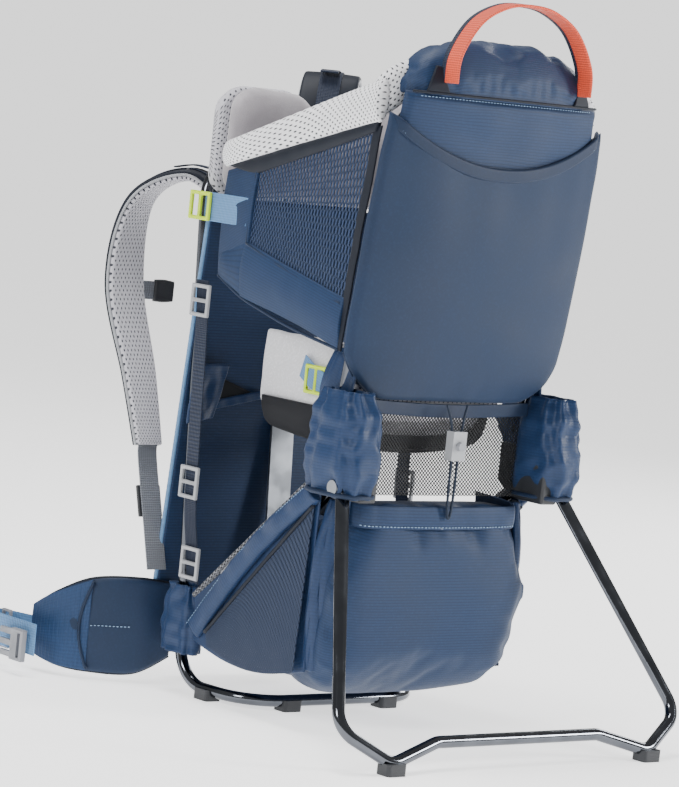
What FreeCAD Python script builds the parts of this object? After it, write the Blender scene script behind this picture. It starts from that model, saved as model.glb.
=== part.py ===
"""Child carrier backpack: tube frame, fold-out stand, harness, cockpit and storage bag.

Axes: +X is the wearer's right, +Y points from the child towards the wearer, +Z is up.
The origin is at floor level, in the middle of the carrier's footprint.
"""
import FreeCAD, Part
import math
import os
import re
import Sketcher
from FreeCAD import Placement, Rotation, Vector

SIZES = {
    # tube frame
    "tube_dia": 12.7, "tube_wall": 1.2, "foot_drop": 4.0,
    "frame_half": 125.0, "frame_top_z": 560.0, "upright_foot_y": 112.0, "upright_lean": 0.0746,
    "top_bend": 40.0, "foot_bend": 42.0, "base_bend": 50.0,
    "base_rear_y": 0.0, "base_half_rear": 118.0, "base_clip_y": 66.0, "base_clip_x": 66.0,
    # hinge of the stand
    "hinge_y": -145.0, "hinge_z": 257.0, "bracket_x": 123.0, "bracket_thick": 22.0,
    "bracket_front_y": -88.0, "bracket_top_z": 300.0, "bracket_round": 3.0,
    "pin_dia": 8.0, "pin_head_dia": 15.0, "pin_head_thick": 3.0, "pin_clearance": 0.05,
    # fold-out stand
    "stand_angle": 31.0, "eye_dia": 22.0, "eye_width": 18.5, "eye_gap": 2.0,
    "leg_major": 16.0, "leg_minor": 9.5, "stand_corner_x": 228.0, "stand_corner_drop": 250.0,
    "stand_foot_x": 172.0, "stand_bar_x": 108.0, "stand_bar_rise": 20.0,
    "stand_bend": 26.0, "clip_len": 24.0, "clip_width": 20.0, "clip_height": 12.0,
    # child seat hoop and rear panel
    "hoop_foot_y": -100.0, "hoop_lean": 0.128, "hoop_top_z": 645.0, "hoop_bend": 45.0,
    "panel_half": 145.0, "panel_bottom_z": 343.0, "panel_seam_z": 655.0, "panel_edge": 10.0,
    "panel_crown": 22.0, "panel_gap": 1.5,
    "dome_half": 130.0, "dome_depth": 50.0, "dome_set_back": 16.0, "dome_height": 64.0, "dome_round": 20.0,
    "handle_half": 90.0, "handle_foot_z": 665.0, "handle_top_z": 751.0, "handle_width": 26.0,
    "handle_thick": 3.0, "handle_gap": 4.0,
    # cockpit
    "side_x": 137.0, "side_thick": 6.0, "side_front_y": 100.0, "side_front_low_z": 443.0,
    "side_front_top_z": 555.0, "side_rear_y": -140.0, "side_rear_top_z": 620.0,
    "side_rear_low_y": -110.0, "side_low_z": 388.0, "leg_edge_y": -3.0, "leg_edge_z": 408.0,
    "rim_thick": 20.0, "rim_front_height": 28.0, "rim_rear_height": 44.0, "rim_gap": 0.5,
    "chin_half": 138.0, "chin_rear_y": 106.0, "chin_thick": 33.0, "chin_low_z": 520.0,
    "chin_top_z": 646.0, "chin_round": 14.0,
    "cushion_half": 102.0, "head_low_z": 480.0, "head_top_z": 650.0, "head_thick": 26.0,
    "child_back_low_z": 332.0, "child_back_thick": 14.0, "pad_round": 6.0,
    "seat_half": 100.0, "seat_z": 300.0, "seat_thick": 26.0, "seat_wing": 12.0,
    "seat_wing_z": 398.0, "seat_front_y": 62.0, "seat_rear_y": -70.0,
    # harness
    "back_half": 134.0, "back_thick": 8.0, "back_low_z": 96.0, "back_top_z": 520.0,
    "rail_width": 30.0, "rail_thick": 3.0, "rail_low_z": 120.0, "rail_top_z": 530.0,
    "yoke_half": 78.0, "yoke_z": 480.0, "yoke_height": 62.0, "yoke_thick": 6.0, "slide_gap": 0.5,
    "strap_width": 62.0, "strap_thick": 12.0,
    "web_width": 25.0, "web_thick": 1.6,
    "lumbar_half": 102.0, "lumbar_low_z": 26.0, "lumbar_top_z": 132.0, "lumbar_thick": 18.0,
    "fin_thick": 15.0,
    "hip_web_width": 34.0, "hip_web_z": 40.0, "hip_buckle_len": 44.0, "hip_buckle_thick": 7.0,
    # storage bag
    "bag_half": 110.5, "bag_round": 10.0, "gusset_gap": 1.0, "gusset_thick": 5.0,
    "sleeve_thick": 1.8, "sleeve_gap": 0.15, "mesh_thick": 2.0, "pocket_gap": 0.4,
    "rear_mesh_y": -121.0, "rear_mesh_low_z": 249.0, "rear_mesh_half": 106.0,
    "hem_gap": 2.0, "cover_thick": 20.0, "cover_low_z": 271.0, "corner_x": 133.5,
    # small fittings
    "lock_wide": 30.0, "lock_tall": 34.0, "lock_thick": 4.0, "lock_bar": 4.0, "lock_round": 1.2,
    "cord_dia": 2.8, "cord_half": 4.0, "cord_y": -144.0, "cord_hole": 3.6,
    "cord_lock_wide": 18.0, "cord_lock_deep": 11.0, "cord_lock_tall": 30.0, "cord_lock_z": 286.0,
    "button_dia": 9.0, "button_out": 5.0, "button_clearance": 0.08, "button_travel": 3.0,
    "lifter_gap": 9.0, "sternum_len": 30.0, "sternum_clip": 22.0, "sternum_tall": 20.0, "sternum_in": 26.0,
    "sternum_out": 12.0, "hip_ring_len": 16.0, "corner_thick": 13.0,
    "eyelet_outer": 16.0, "eyelet_inner": 10.0, "eyelet_thick": 1.6, "eyelet_z": 226.0,
}

doc = FreeCAD.newDocument("child_carrier")
sheet = doc.addObject("Spreadsheet::Sheet", "dims")
for row, (alias, amount) in enumerate(SIZES.items(), start=1):
    sheet.set("A%d" % row, alias)
    sheet.set("B%d" % row, str(amount))
    sheet.setAlias("B%d" % row, alias)
doc.recompute()

NODES = []


def size(alias):
    """Value of a driving dimension, as the sheet holds it."""
    return float(sheet.get(alias))


def bind(text):
    """Expression with every driving dimension written as a reference to the sheet."""
    return re.sub(r"[a-z_]{4,}", lambda m: "dims." + m.group(0) if m.group(0) in SIZES else m.group(0),
                  str(text))


def finish_node(obj, label):
    """Give an object its node name and count it as one sub-part."""
    obj.Label = label
    NODES.append(obj)
    return obj


def locate(obj, where, axis=None, angle=None):
    """Bind an object's place, and its turn about one axis, to expressions."""
    if axis is not None:
        obj.Placement = Placement(Vector(), Rotation(Vector(*axis), 1.0))
        obj.setExpression("Placement.Rotation.Angle", bind(angle))
    for letter, text in zip("xyz", where):
        obj.setExpression("Placement.Base." + letter, bind(text))


def add_loop(sketch, corners):
    """Add one closed loop of lines whose corners are bound to expressions."""
    count = len(corners)
    first = sketch.GeometryCount
    turn = 2 * math.pi / count
    seeds = [Vector(30 * math.cos(turn * i), 30 * math.sin(turn * i), 0) for i in range(count)]
    for i in range(count):
        sketch.addGeometry(Part.LineSegment(seeds[i], seeds[(i + 1) % count]), False)
    for i in range(count):
        sketch.addConstraint(Sketcher.Constraint("Coincident", first + i, 2, first + (i + 1) % count, 1))
    for i, corner in enumerate(corners):
        for kind, text, seed in zip(("DistanceX", "DistanceY"), corner, (seeds[i].x, seeds[i].y)):
            number = sketch.addConstraint(Sketcher.Constraint(kind, -1, 1, first + i, 1, seed))
            sketch.setExpression("Constraints[%d]" % number, bind(text))


def add_circle(sketch, centre, radius):
    """Add one circle whose centre and radius are bound to expressions."""
    number = sketch.addGeometry(Part.Circle(Vector(1, 1, 0), Vector(0, 0, 1), 2.0), False)
    for kind, text in zip(("DistanceX", "DistanceY"), centre):
        bound = sketch.addConstraint(Sketcher.Constraint(kind, -1, 1, number, 3, 1.0))
        sketch.setExpression("Constraints[%d]" % bound, bind(text))
    bound = sketch.addConstraint(Sketcher.Constraint("Radius", number, 2.0))
    sketch.setExpression("Constraints[%d]" % bound, bind(radius))


def padded_body(label, role, loops, thick, where=None, rounding=None, circles=(), axis=None, angle=None,
                symmetric=True, listed=True):
    """One body: a sketch on its own origin plane, a pad and, if asked, rounded edges."""
    body = doc.addObject("PartDesign::Body", label)
    sketch = body.newObject("Sketcher::SketchObject", label + "_outline")
    plane = [item for item in body.Origin.OriginFeatures if item.Role == role][0]
    sketch.AttachmentSupport = [(plane, "")]
    sketch.MapMode = "FlatFace"
    for corners in loops:
        add_loop(sketch, corners)
    for centre, radius in circles:
        add_circle(sketch, centre, radius)
    pad = body.newObject("PartDesign::Pad", label + "_pad")
    pad.Profile = sketch
    pad.setExpression("Length", bind(thick))
    pad.SideType = "Symmetric" if symmetric else "One side"
    if rounding is not None:
        doc.recompute()
        edges = body.newObject("PartDesign::Fillet", label + "_round")
        edges.Base = (pad, ["Edge1"])
        edges.UseAllEdges = True
        edges.setExpression("Radius", bind(rounding))
    if where is not None:
        locate(body, where, axis, angle)
    if listed:
        finish_node(body, label)
    return body


def box_corners(low, high):
    """Four corners of a rectangle given by two opposite corners."""
    return [(low[0], low[1]), (high[0], low[1]), (high[0], high[1]), (low[0], high[1])]


def centred(wide, tall):
    """Rectangle about the sketch's origin."""
    return box_corners(("-(%s)/2" % wide, "-(%s)/2" % tall), ("(%s)/2" % wide, "(%s)/2" % tall))


def feature(label, shape, listed=True):
    """Document object for a shape made in code from the sheet's values."""
    obj = doc.addObject("Part::Feature", label)
    obj.Shape = shape
    obj.Placement = Placement()
    if listed:
        finish_node(obj, label)
    return obj


def group(label, members):
    """Several solids that share one node."""
    obj = doc.addObject("Part::Compound", label)
    obj.Links = members
    return finish_node(obj, label)


def mirrored(shape):
    """The same shape on the other side of the carrier."""
    return shape.mirror(Vector(), Vector(1, 0, 0))


def route(points, radii):
    """Wire of straight runs joined by tangent arcs, one radius for each inner corner."""
    edges = []
    start = points[0]
    for corner, after, radius in zip(points[1:-1], points[2:], radii):
        before = (start - corner).normalize()
        ahead = (after - corner).normalize()
        half = before.getAngle(ahead) / 2
        reach = radius / math.tan(half)
        middle = corner + (before + ahead).normalize() * (radius / math.sin(half) - radius)
        arc_start = corner + before * reach
        arc_end = corner + ahead * reach
        if (arc_start - start).Length > 1e-4:
            edges.append(Part.LineSegment(start, arc_start).toShape())
        edges.append(Part.Arc(arc_start, middle, arc_end).toShape())
        start = arc_end
    edges.append(Part.LineSegment(start, points[-1]).toShape())
    return Part.Wire(edges)


def rod(points, radii, dia):
    """Solid round bar along a route."""
    wire = route(points, radii)
    first = wire.Edges[0]
    heading = first.tangentAt(first.FirstParameter)
    circle = Part.Wire(Part.Circle(points[0], heading, dia / 2).toShape())
    return wire.makePipeShell([circle], True, False)


def band(points, radii, width, thick):
    """Upright flat band along a level route."""
    wire = route(points, radii)
    heading = (points[1] - points[0]).normalize()
    across = Vector(0, 0, 1).cross(heading) * (thick / 2)
    rise = Vector(0, 0, width / 2)
    start = points[0]
    ring = [start - across - rise, start + across - rise, start + across + rise, start - across + rise]
    return wire.makePipeShell([Part.makePolygon(ring + ring[:1])], True, False)


def pipe(points, radii, dia, wall):
    """Hollow round tube along a route."""
    return rod(points, radii, dia).cut(rod(points, radii, dia - 2 * wall))


def smoothed(stations, steps=3):
    """Stations with more between them, along a smooth curve through all of them."""
    rows = [tuple(centre) + tuple(across) + (width, thick) for centre, across, width, thick in stations]
    dense = []
    for index in range(len(rows) - 1):
        before = rows[max(index - 1, 0)]
        after = rows[min(index + 2, len(rows) - 1)]
        for step in range(steps):
            t = step / steps
            weights = (-t / 2 + t ** 2 - t ** 3 / 2, 1 - 2.5 * t ** 2 + 1.5 * t ** 3,
                       t / 2 + 2 * t ** 2 - 1.5 * t ** 3, -t ** 2 / 2 + t ** 3 / 2)
            picks = (before, rows[index], rows[index + 1], after)
            dense.append([sum(w * pick[k] for w, pick in zip(weights, picks)) for k in range(8)])
    dense.append(list(rows[-1]))
    return [(row[0:3], row[3:6], row[6], row[7]) for row in dense]


def ribbon(stations, chamfer=0.25, smooth=True):
    """Loft through bevelled rectangles: each station is centre, width direction, width, thickness."""
    wires = []
    if smooth and len(stations) > 2:
        stations = smoothed(stations)
    for index, (centre, across, width, thick) in enumerate(stations):
        before = stations[max(index - 1, 0)][0]
        after = stations[min(index + 1, len(stations) - 1)][0]
        heading = (Vector(*after) - Vector(*before)).normalize()
        side = Vector(*across)
        side = (side - heading * side.dot(heading)).normalize()
        face = heading.cross(side)
        half = width / 2
        deep = thick / 2
        cut = thick * chamfer
        outline = [(-half, -deep + cut), (-half + cut, -deep), (half - cut, -deep), (half, -deep + cut),
                   (half, deep - cut), (half - cut, deep), (-half + cut, deep), (-half, deep - cut)]
        ring = [Vector(*centre) + side * u + face * v for u, v in outline]
        wires.append(Part.makePolygon(ring + ring[:1]))
    solid = Part.makeLoft(wires, True, True)
    if solid.Volume < 0:
        solid.reverse()
    return solid


def floor_tube_z():
    """Height of the centre of a tube that stands on its foot clips."""
    return size("foot_drop") + size("tube_dia") / 2


def upright_y(z):
    """Centre of the uprights at a height."""
    return size("upright_foot_y") + size("upright_lean") * (z - floor_tube_z())


def hoop_y(z):
    """Centre of the seat hoop's tube at a height."""
    return size("hoop_foot_y") - size("hoop_lean") * (z - size("bracket_top_z"))


def main_frame_path():
    """Half of the harness loop, from the middle of the top bar to the middle of the base bar."""
    low = floor_tube_z()
    top = size("frame_top_z")
    points = [Vector(0, upright_y(top), top), Vector(-size("frame_half"), upright_y(top), top),
              Vector(-size("frame_half"), upright_y(low), low),
              Vector(-size("base_half_rear"), size("base_rear_y"), low),
              Vector(0, size("base_rear_y"), low)]
    return points, [size("top_bend"), size("foot_bend"), size("base_bend")]


def make_main_frame():
    """Uprights, top bar and floor loop: one bent tube."""
    points, radii = main_frame_path()
    half = pipe(points, radii, size("tube_dia"), size("tube_wall"))
    return feature("main_frame", half.fuse(mirrored(half)).removeSplitter())


def make_seat_frame():
    """Hoop behind the child, from one hinge bracket over to the other."""
    top = size("hoop_top_z")
    low = size("bracket_top_z") + size("hoop_lean") * size("tube_dia") / 2
    points = [Vector(-size("bracket_x"), hoop_y(low), low), Vector(-size("bracket_x"), hoop_y(top), top),
              Vector(0, hoop_y(top), top)]
    half = pipe(points, [size("hoop_bend")], size("tube_dia"), size("tube_wall"))
    return feature("seat_frame", half.fuse(mirrored(half)).removeSplitter())


def strut_ends():
    """Centre line of the left strut, from the upright's foot to the hinge bracket."""
    low = Vector(-size("frame_half"), upright_y(48.0), 48.0)
    high = Vector(-size("bracket_x"), size("bracket_front_y") - 24.0, size("hinge_z") + 1.0)
    return low, high


def make_struts():
    """Diagonal tubes, coped to the upright and to the bracket, each in its fabric sleeve."""
    low, high = strut_ends()
    points, radii = main_frame_path()
    upright = rod(points, radii, size("tube_dia"))
    bracket = doc.getObject("hinge_bracket_left").Shape
    dia = size("tube_dia")
    tube = pipe([low, high], [], dia, size("tube_wall")).cut(upright).cut(bracket)
    tube = max(tube.Solids, key=lambda item: item.Volume)
    inner = dia + 2 * size("sleeve_gap")
    outer = inner + 2 * size("sleeve_thick")
    along = high - low
    cover = pipe([low + along * 0.2, low + along * 0.78], [], outer, size("sleeve_thick"))
    feature("side_strut_left", tube)
    feature("side_strut_right", mirrored(tube))
    sleeves = [feature("strut_sleeve_a", cover, False), feature("strut_sleeve_b", mirrored(cover), False)]
    group("strut_sleeves", sleeves)


def make_brackets():
    """Moulded brackets that join hoop, strut and stand."""
    corners = [("hinge_y-15", "hinge_z-14"), ("hinge_y-15", "hinge_z+18"), ("hinge_y+18", "bracket_top_z"),
               ("bracket_front_y", "bracket_top_z"), ("bracket_front_y", "hinge_z+2"),
               ("bracket_front_y-26", "hinge_z-14")]
    for label, side in (("hinge_bracket_left", "-"), ("hinge_bracket_right", "")):
        padded_body(label, "YZ_Plane", [corners], "bracket_thick", (side + "bracket_x", "0", "0"),
                    "bracket_round")


def make_hinge_pins():
    """Headed pins that the stand turns on."""
    parts = []
    for name, side in (("pin_left", -1), ("pin_right", 1)):
        shaft = doc.addObject("Part::Cylinder", name + "_shaft")
        head = doc.addObject("Part::Cylinder", name + "_head")
        shaft.setExpression("Radius", bind("pin_dia/2"))
        shaft.setExpression("Height", bind("2*eye_gap+eye_width"))
        head.setExpression("Radius", bind("pin_head_dia/2"))
        head.setExpression("Height", bind("pin_head_thick"))
        root = "bracket_x+bracket_thick/2"
        for item, start in ((shaft, root), (head, root + "+2*eye_gap+eye_width")):
            item.Placement = Placement(Vector(), Rotation(Vector(0, side, 0), 90))
            for letter, text in zip("xyz", ("%d*(%s)" % (side, start), "hinge_y", "hinge_z")):
                item.setExpression("Placement.Base." + letter, bind(text))
        pin = doc.addObject("Part::Fuse", name)
        pin.Base = shaft
        pin.Tool = head
        parts.append(pin)
    group("hinge_pins", parts)


def clip_block(x, y, turn, tube):
    """One foot clip: a rounded block on the floor, hollowed by the tube it grips."""
    length = size("clip_len")
    width = size("clip_width")
    block = Part.makeBox(length, width, size("clip_height"), Vector(-length / 2, -width / 2, 0))
    upright_edges = [edge for edge in block.Edges if abs(edge.tangentAt(0).z) > 0.9]
    block = block.makeFillet(4.0, upright_edges)
    block.Placement = Placement(Vector(x, y, 0), Rotation(Vector(0, 0, 1), turn))
    return max(block.cut(tube).Solids, key=lambda item: item.Volume)


def make_base_feet():
    """Four clips under the floor loop."""
    points, radii = main_frame_path()
    tube = rod(points, radii, size("tube_dia"))
    tube = tube.fuse(mirrored(tube))
    clips = []
    lean = (size("frame_half") - size("base_half_rear")) / size("upright_foot_y")
    side_x = size("base_half_rear") + lean * size("base_clip_y")
    places = ((side_x, size("base_clip_y"), 90), (size("base_clip_x"), size("base_rear_y"), 0))
    for index, (x, y, turn) in enumerate(places):
        for sign in (-1, 1):
            block = clip_block(sign * x, y, turn, tube)
            clips.append(feature("base_foot_%d%s" % (index, "a" if sign < 0 else "b"), block, False))
    group("base_feet", clips)


def stand_points():
    """Left half of the stand in its own plane: x across, z down the leg from the hinge."""
    slope = math.cos(math.radians(size("stand_angle")))
    foot = (size("hinge_z") - floor_tube_z()) / slope
    bar = foot - size("stand_bar_rise")
    top_x = size("bracket_x") + size("bracket_thick") / 2 + size("eye_gap") + size("eye_width") / 2
    corner = Vector(-size("stand_corner_x"), 0, -size("stand_corner_drop"))
    return [Vector(-top_x, 0, 0), corner, Vector(-size("stand_foot_x"), 0, -foot),
            Vector(-size("stand_bar_x"), 0, -bar), Vector(0, 0, -bar)]


def flat_tube(start, end, major, minor, grow):
    """Straight tube that goes from an oval section to a round one."""
    heading = (end - start).normalize()
    wires = []
    for share, long_axis, short_axis in ((0.0, major, minor), (0.55, major, minor), (1.0, None, None)):
        centre = start + (end - start) * share
        if long_axis is None:
            curve = Part.Circle(centre, heading, size("tube_dia") / 2 + grow)
        else:
            across = Vector(0, 1, 0).cross(heading).normalize()
            curve = Part.Ellipse(centre + across * (long_axis / 2 + grow),
                                 centre + Vector(0, short_axis / 2 + grow, 0), centre)
        wires.append(Part.Wire(curve.toShape()))
    return Part.makeLoft(wires, True, False)


def make_stand():
    """Fold-out stand: oval legs, floor bends, raised bar, hinge eyes and foot clips."""
    points = stand_points()
    bend = size("stand_bend")
    dia = size("tube_dia")
    wall = size("tube_wall")
    leg_end = points[0] + (points[1] - points[0]) * 0.8
    lower = pipe([leg_end] + points[1:], [bend, bend * 0.8, bend], dia, wall)
    leg = flat_tube(points[0], leg_end, size("leg_major"), size("leg_minor"), 0.0)
    bore = flat_tube(points[0], leg_end, size("leg_major"), size("leg_minor"), -wall)
    eye_start = points[0] - Vector(size("eye_width") / 2, 0, 0)
    eye = Part.makeCylinder(size("eye_dia") / 2, size("eye_width"), eye_start, Vector(1, 0, 0))
    hole_dia = size("pin_dia") + 2 * size("pin_clearance")
    hole_start = eye_start - Vector(size("eye_gap"), 0, 0)
    hole = Part.makeCylinder(hole_dia / 2, size("eye_width") + 2 * size("eye_gap"), hole_start,
                             Vector(1, 0, 0))
    slab_side = 3 * size("eye_dia")
    above = Part.makeBox(slab_side, slab_side, slab_side, points[0] - Vector(slab_side / 2, slab_side / 2,
                                                                             0))
    half = leg.cut(bore).cut(above).fuse(lower).fuse(eye).cut(hole)
    turn = Rotation(Vector(1, 0, 0), -size("stand_angle"))
    place = Placement(Vector(0, size("hinge_y"), size("hinge_z")), turn)
    stand = feature("kickstand", half.fuse(mirrored(half)).removeSplitter())
    stand.Placement = place
    solid_tube = rod([leg_end] + points[1:], [bend, bend * 0.8, bend], dia)
    solid_tube = solid_tube.fuse(mirrored(solid_tube))
    solid_tube.Placement = place
    foot = place.multVec(points[2])
    clips = []
    for sign in (-1, 1):
        block = clip_block(-sign * foot.x, foot.y, 0, solid_tube)
        clips.append(feature("stand_foot_" + ("a" if sign < 0 else "b"), block, False))
    group("kickstand_feet", clips)


def lean_angle(alias):
    """Expression for the tilt of a leaning plane from its slope."""
    return "atan(%s)" % alias


def back_plate(label, half, low, high, thick, offset, rounding=None):
    """Plate parallel to the uprights; offset is its rear face ahead of the tube's centre plane."""
    loop = box_corners(("-(%s)" % half, low), (half, high))
    angle = lean_angle("upright_lean")
    shift = "upright_foot_y-upright_lean*(foot_drop+tube_dia/2)+(%s)+(%s)/2" % (offset, thick)
    return padded_body(label, "XZ_Plane", [loop], thick, ("0", shift, "0"), rounding, axis=(1, 0, 0),
                       angle="-" + angle)


def make_back():
    """Ventilated back panel, its centre rail and the lumbar pad."""
    back_plate("back_panel", "back_half", "back_low_z", "back_top_z", "back_thick", "tube_dia/2+1",
               "back_thick*0.4")
    back_plate("back_rail", "rail_width/2", "rail_low_z", "rail_top_z", "rail_thick",
               "tube_dia/2+0.5-rail_thick", None)
    front = "tube_dia/2+1+back_thick+slide_gap"
    back_plate("yoke_plate", "yoke_half", "yoke_z", "yoke_z+yoke_height", "yoke_thick", front,
               "yoke_thick*0.3")
    back_plate("lumbar_pad", "lumbar_half", "lumbar_low_z", "lumbar_top_z", "lumbar_thick", front,
               "lumbar_thick*0.3")


def make_rear_panel():
    """Crowned rear panel and the padded dome on top of it."""
    half = size("panel_half")
    wires = []
    gap = size("tube_dia") / 2 + size("panel_gap")
    low = size("panel_bottom_z")
    tall = size("panel_seam_z") - low
    for share, width, crown in ((0.0, 0.86, 0.7), (0.12, 0.97, 0.9), (0.5, 1.0, 1.0), (1.0, 0.93, 0.6)):
        z = low + tall * share
        front = hoop_y(z) - gap
        edge = front - size("panel_edge")
        bulge = edge - size("panel_crown") * crown
        middle = half * width * 0.55
        ring = [(-half * width, front), (half * width, front), (half * width, edge), (middle, bulge),
                (-middle, bulge), (-half * width, edge)]
        wires.append(Part.makePolygon([Vector(x, y, z) for x, y in ring + ring[:1]]))
    feature("headrest_panel", Part.makeLoft(wires, True, False))
    rear = ("hoop_foot_y-hoop_lean*(panel_seam_z-bracket_top_z)-tube_dia/2-panel_gap-panel_edge"
            "-panel_crown*0.6+dome_set_back")
    loop = [("-dome_half", "0"), ("dome_half", "0"), ("dome_half", "dome_height*0.45"),
            ("dome_half*0.6", "dome_height"), ("-dome_half*0.6", "dome_height"),
            ("-dome_half", "dome_height*0.45")]
    padded_body("headrest_dome", "XZ_Plane", [loop], "dome_depth",
                ("0", rear + "+dome_depth/2", "panel_seam_z+1"), "dome_round*0.5")


def dome_rear_y():
    """Rear face of the dome."""
    z = size("panel_seam_z")
    gap = size("tube_dia") / 2 + size("panel_gap") + size("panel_edge") + size("panel_crown") * 0.6
    return hoop_y(z) - gap + size("dome_set_back")


def make_handle():
    """Webbing grab handle behind the dome."""
    y = dome_rear_y() - size("handle_gap")
    half = size("handle_half")
    low = size("handle_foot_z")
    top = size("handle_top_z")
    tall = top - low
    shape = ((-1.0, 0.0), (-0.97, 0.34), (-0.72, 0.74), (-0.36, 0.95), (0.0, 1.0))
    line = list(shape) + [(-x, z) for x, z in reversed(shape[:-1])]
    stations = [((half * x, y - size("handle_width") / 2, low + tall * z), (0, 1, 0), size("handle_width"),
                 size("handle_thick")) for x, z in line]
    feature("grab_handle", ribbon(stations))


def cockpit_outline():
    """Side panel seen from the side, as corners in Y and Z."""
    return [("side_front_y", "side_front_low_z"), ("side_front_y", "side_front_top_z"),
            ("side_rear_y", "side_rear_top_z"), ("side_rear_low_y", "side_low_z"),
            ("leg_edge_y", "leg_edge_z")]


def make_cockpit_sides():
    """Side panels and the padded rims on top of them."""
    for label, sign in (("side_panel_left", "-"), ("side_panel_right", "")):
        padded_body(label, "YZ_Plane", [cockpit_outline()], "side_thick",
                    (sign + "(side_x+side_thick/2)", "0", "0"), "side_thick*0.3")
    slope = (size("side_rear_top_z") - size("side_front_top_z")) / (size("side_rear_y") - size("side_front_y"))
    stations = []
    for y, height in ((size("side_front_y"), size("rim_front_height")),
                      (-40.0, size("rim_rear_height") * 0.86),
                      (size("side_rear_y"), size("rim_rear_height"))):
        edge = size("side_front_top_z") + slope * (y - size("side_front_y"))
        centre = (-(size("side_x") + size("side_thick") / 2), y, edge + size("rim_gap") + height / 2)
        stations.append((centre, (0, 0, 1), height, size("rim_thick")))
    bevel = size("rim_thick") * 0.25
    lifted = [((c[0], c[1], c[2] + bevel * 0.4), a, w, t) for c, a, w, t in stations]
    rim = ribbon(lifted)
    feature("rim_pad_left", rim)
    feature("rim_pad_right", mirrored(rim))


def make_cockpit_pads():
    """Chin pad, head cushion, back pad, seat and the child's harness."""
    loop = box_corners(("-chin_half", "chin_low_z"), ("chin_half", "chin_top_z"))
    padded_body("chin_pad", "XZ_Plane", [loop], "chin_thick", ("0", "chin_rear_y+chin_thick/2", "0"),
                "chin_round")
    lean = lean_angle("hoop_lean")
    for label, low, high, thick in (("head_cushion", "head_low_z", "head_top_z", "head_thick"),
                                    ("child_back_pad", "child_back_low_z", "head_low_z-2",
                                     "child_back_thick")):
        loop = box_corners(("-cushion_half", low), ("cushion_half", high))
        shift = "hoop_foot_y+hoop_lean*bracket_top_z+tube_dia/2+panel_gap+(%s)/2" % thick
        padded_body(label, "XZ_Plane", [loop], thick, ("0", shift, "0"), "pad_round", axis=(1, 0, 0),
                    angle=lean)
    loop = [("-seat_half", "seat_wing_z"), ("-seat_half", "seat_z+seat_thick*0.5"),
            ("-seat_half*0.8", "seat_z"),
            ("seat_half*0.8", "seat_z"), ("seat_half", "seat_z+seat_thick*0.5"),
            ("seat_half", "seat_wing_z"),
            ("seat_half-seat_wing", "seat_wing_z"), ("seat_half-seat_wing", "seat_z+seat_thick*1.2"),
            ("seat_half*0.7", "seat_z+seat_thick"), ("-seat_half*0.7", "seat_z+seat_thick"),
            ("-(seat_half-seat_wing)", "seat_z+seat_thick*1.2"), ("-(seat_half-seat_wing)", "seat_wing_z")]
    padded_body("seat_pad", "XZ_Plane", [loop], "seat_front_y-seat_rear_y",
                ("0", "(seat_front_y+seat_rear_y)/2", "0"), "seat_wing*0.3")
    ahead = size("tube_dia") / 2 + size("panel_gap")
    stations = []
    for z, stand_off in ((640.0, size("head_thick") + 4), (560.0, size("head_thick") + 6),
                         (490.0, size("head_thick") + 8), (430.0, size("head_thick") + 16), (372.0, 60.0)):
        stations.append(((-46.0, hoop_y(z) + ahead + stand_off, z), (1, 0, 0), 36.0, 5.0))
    strap = ribbon(stations)
    buckle = Part.makeBox(56, 12, 44, Vector(-28, hoop_y(400) + ahead + 46, 360))
    buckle = buckle.makeFillet(4.0, buckle.Edges)
    parts = [feature("harness_strap_a", strap, False), feature("harness_strap_b", mirrored(strap), False),
             feature("harness_buckle", buckle, False)]
    group("child_harness", parts)


def strap_line(side):
    """Shoulder strap from the yoke down: centre, width direction and share of the full width."""
    if side < 0:
        return [((-50, 190, 512), (1, 0.3, 0), 0.9), ((-88, 226, 540), (1, 0.8, 0), 1.0),
                ((-126, 262, 508), (1, 0.6, 0), 1.0), ((-146, 250, 420), (1, 0.2, 0), 0.9),
                ((-146, 208, 325), (1, 0, 0), 0.68), ((-143, 184, 252), (1, 0, 0), 0.55)]
    return [((50, 190, 512), (1, -0.1, 0), 0.9), ((58, 196, 592), (1, -0.4, 0), 1.0),
            ((84, 218, 656), (1, -0.9, 0), 1.0), ((116, 248, 634), (1, -0.9, 0), 1.0),
            ((140, 258, 545), (1, -0.4, 0), 0.95), ((146, 240, 465), (1, 0, 0), 0.8),
            ((145, 212, 385), (1, 0, 0), 0.6)]


def load_lifter(stations, first):
    """Short webbing that lies just above the crest of a shoulder strap."""
    dense = smoothed(stations)
    span = []
    for number in range(first, first + 4):
        centre = Vector(*dense[number][0])
        across = Vector(*dense[number][1])
        heading = Vector(*dense[number + 1][0]) - Vector(*dense[number - 1][0])
        face = heading.cross(across).normalize()
        if face.z < 0:
            face = face * -1
        span.append((tuple(centre + face * size("lifter_gap")), tuple(across), 20.0, size("web_thick")))
    return ribbon(span, smooth=False)


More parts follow.
